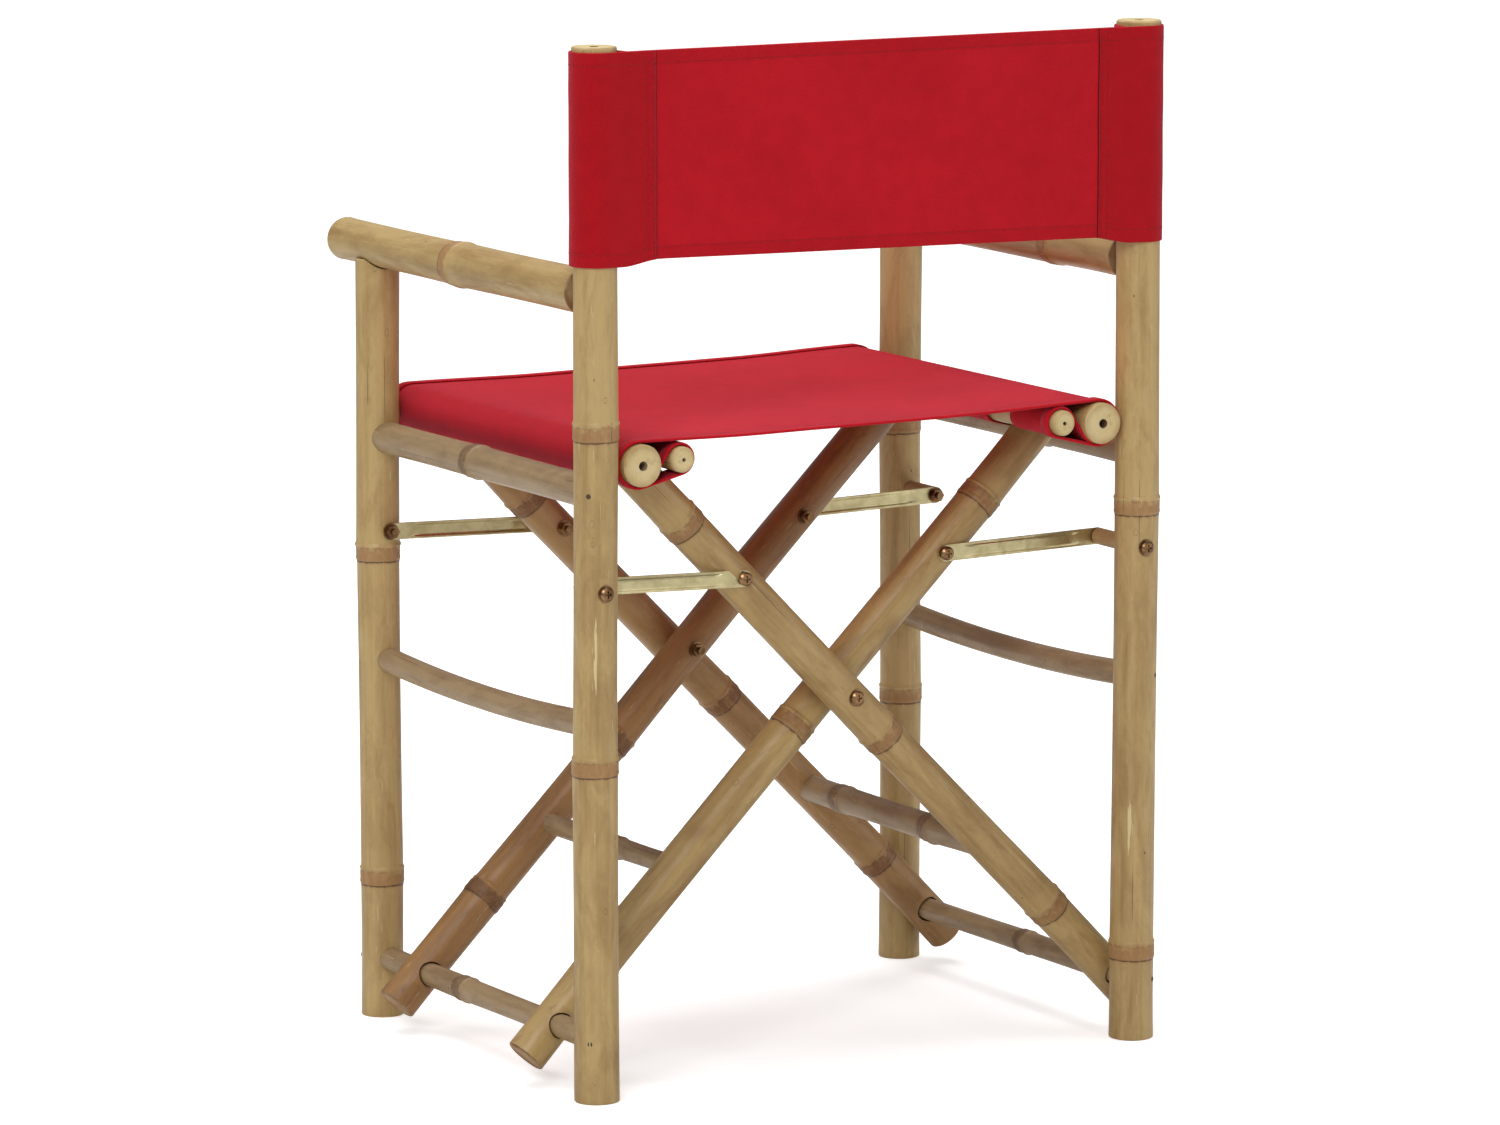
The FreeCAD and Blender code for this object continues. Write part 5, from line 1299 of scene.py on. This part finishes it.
def pressed_link(name, node, start, finish, outward):
    """A pressed steel link: a flat bar with round ends and a raised rib whose ends
    run out softly. It stands for its node."""
    width = 14 * MM
    thick = 2 * MM
    rib_rise = 1.2 * MM
    rib_half = 4.6 * MM
    flat_end = 19 * MM
    ramp = 7 * MM
    along = (finish - start).normalized()
    across = along.cross(outward)
    length = (finish - start).length
    half = width / 2
    pitch = 3 * MM
    round_end = [half * (1 - math.cos(step / 12 * math.pi / 2)) for step in range(13)]
    stations = [reach - half for reach in round_end]
    stations += [half * 0.35 + step * pitch for step in range(1, int((length - half * 0.7) / pitch))]
    stations += [length + half - reach for reach in reversed(round_end)]
    stations = sorted(set(round(s, 6) for s in stations))
    lanes = [-1, -0.97, -0.9, -0.78, -0.70, -0.62, -0.54, -0.4, 0, 0.4, 0.54, 0.62, 0.70, 0.78, 0.9, 0.97, 1]

    def half_width(s):
        past = max(-s, s - length, 0)
        return math.sqrt(max(half ** 2 - past ** 2, (0.3 * MM) ** 2))

    def rise(s, lane):
        inner = min(s - flat_end, length - flat_end - s) / ramp
        inner = min(max(inner, 0), 1)
        inner = inner * inner * (3 - 2 * inner)
        reach = (rib_half - abs(lane) * half) / (1.6 * MM)
        reach = min(max(reach + 0.5, 0), 1)
        return rib_rise * inner * reach * reach * (3 - 2 * reach)

    points = []
    edge_round = 0.35 * MM
    for layer in (0.0, thick):
        for s in stations:
            for lane in lanes:
                rim = edge_round if abs(lane) == 1 else 0.0
                offset = -layer + rise(s, lane) + (-rim if layer == 0 else rim)
                spot = start + along * s + across * lane * half_width(s) + outward * offset
                points.append(spot)
    wide = len(lanes)
    count = len(stations)
    below = wide * count
    faces = []
    for row in range(count - 1):
        for lane in range(wide - 1):
            first = row * wide + lane
            quad = (first, first + 1, first + wide + 1, first + wide)
            faces.append(quad[::-1])
            faces.append(tuple(index + below for index in quad))
        for lane in (0, wide - 1):
            first = row * wide + lane
            quad = (first, first + wide, first + wide + below, first + below)
            faces.append(quad[::-1] if lane == 0 else quad)
    for row in (0, count - 1):
        for lane in range(wide - 1):
            first = row * wide + lane
            quad = (first, first + 1, first + 1 + below, first + below)
            faces.append(quad if row == 0 else quad[::-1])
    piece = new_piece(name, points, faces, [LINK_ZINC], sharp=30)
    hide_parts(node)
    return piece


LINK_IN = 1.2 * MM  # the link's flat face below the top of its rib
for side in SIDES:
    for end, sign in ENDS.items():
        node = f"{side}_{end}_link"
        low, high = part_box(node)
        pivot = joint_at[f"{side}_{end}_link_pivot"]
        bolt = centre_of(f"{node}_bolt")
        outer_face = (high.y if sign > 0 else low.y) - sign * LINK_IN
        start = Vector((pivot.x, outer_face, pivot.z))
        finish = Vector((bolt.x, outer_face, bolt.z))
        link = pressed_link(f"{node}_bar", node, start, finish, Vector((0, sign, 0)))
        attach(link, body_of_node[node])

slots = {row["node"]: row["material_slot"] for row in frame["record"]["subparts"]}
for node, obj in frame["nodes"].items():
    look = CAD_LOOKS.get(slots.get(node))
    if look is not None and not obj.hide_render:
        obj.data.materials.clear()
        obj.data.materials.append(look)
        obj.data.polygons.foreach_set("use_smooth", [True] * len(obj.data.polygons))
        obj.data.set_sharp_from_angle(angle=math.radians(32))


# ---------------------------------------------------------------- floor, light, camera
def pale_floor():
    """A wide pale floor with a faint mottle."""
    size = 30.0
    floor = new_piece(
        "studio_floor", [(-size, -size, 0), (size, -size, 0), (size, size, 0), (-size, size, 0)],
        [(0, 1, 2, 3)], [])
    material, tree, shader = new_material("pale_floor")
    place = add(tree, "ShaderNodeTexCoord").outputs["Object"]
    mottle = cloudy(tree, stretched(tree, place, 3, 3), 3.0, 0.5)
    colour = blend_colour(tree, mottle, linear(247, 247, 247), linear(252, 252, 252))
    tree.links.new(colour, shader.inputs["Base Color"])
    shader.inputs["Roughness"].default_value = 0.9
    shader.inputs["Specular IOR Level"].default_value = 0.1
    away = add(tree, "ShaderNodeVectorMath", {0: place}, operation="LENGTH").outputs["Value"]
    glow = remap(tree, away, 0.9, 5.0, FLOOR_GLOW_NEAR, FLOOR_GLOW_FAR)
    seen = add(tree, "ShaderNodeLightPath").outputs["Is Camera Ray"]
    lit = add(tree, "ShaderNodeEmission", {"Strength": maths(tree, "MULTIPLY", glow, seen)}).outputs[0]
    both = add(tree, "ShaderNodeAddShader", {0: shader.outputs[0], 1: lit}).outputs[0]
    output = next(node for node in tree.nodes if node.type == "OUTPUT_MATERIAL")
    tree.links.new(both, output.inputs["Surface"])
    floor.data.materials.append(material)


def soft_light(name, position, target, size, power):
    lamp = bpy.data.lights.new(name, "AREA")
    lamp.shape = "RECTANGLE"
    lamp.size, lamp.size_y = size
    lamp.energy = power
    obj = bpy.data.objects.new(name, lamp)
    obj.location = position
    obj.rotation_mode = "QUATERNION"
    obj.rotation_quaternion = (Vector(target) - Vector(position)).to_track_quat("-Z", "Y")
    bpy.context.scene.collection.objects.link(obj)


SURROUND_LIGHT = 0.28
FLOOR_GLOW_NEAR = 0.45
FLOOR_GLOW_FAR = 0.82
VIEW_TARGET = Vector((0.0194, 0.0270, 0.3316))
VIEW_AZIMUTH = math.radians(151.028)
VIEW_ELEVATION = math.radians(9.357)
VIEW_DISTANCE = 6.674
VIEW_LENS = 192.34
VIEW_SHIFT = (0.00885, 0.05053)

pale_floor()
middle = (cad_box[0] + cad_box[1]) / 2
soft_light("key_softbox", (3.2, 3.4, 3.6), middle, (2.6, 2.6), 122)
soft_light("fill_softbox", (-3.6, 3.0, 1.8), middle, (3.0, 2.4), 38)
soft_light("top_softbox", (0.2, -0.6, 4.2), middle, (3.4, 3.4), 140)

world = bpy.data.worlds.new("studio_air")
world.use_nodes = True
air = world.node_tree
air.nodes.clear()
around = add(air, "ShaderNodeBackground", {"Color": (1.0, 1.0, 1.0, 1.0), "Strength": SURROUND_LIGHT})
backdrop = add(air, "ShaderNodeBackground", {"Color": (1.0, 1.0, 1.0, 1.0), "Strength": 1.0})
seen = add(air, "ShaderNodeLightPath").outputs["Is Camera Ray"]
mixed = add(air, "ShaderNodeMixShader", {0: seen, 1: around.outputs[0], 2: backdrop.outputs[0]})
add(air, "ShaderNodeOutputWorld", {"Surface": mixed.outputs[0]})
bpy.context.scene.world = world
bpy.context.scene.view_settings.view_transform = "Standard"

camera_data = bpy.data.cameras.new("camera")
camera_data.lens = VIEW_LENS
camera_data.sensor_width = 36
camera_data.shift_x, camera_data.shift_y = VIEW_SHIFT
camera_data.clip_end = 100
camera = bpy.data.objects.new("camera", camera_data)
back = Vector((
    math.sin(VIEW_AZIMUTH) * math.cos(VIEW_ELEVATION),
    -math.cos(VIEW_AZIMUTH) * math.cos(VIEW_ELEVATION),
    math.sin(VIEW_ELEVATION),
))
camera.location = VIEW_TARGET + back * VIEW_DISTANCE
camera.rotation_mode = "QUATERNION"
camera.rotation_quaternion = (-back).to_track_quat("-Z", "Y")
bpy.context.scene.collection.objects.link(camera)
bpy.context.scene.camera = camera
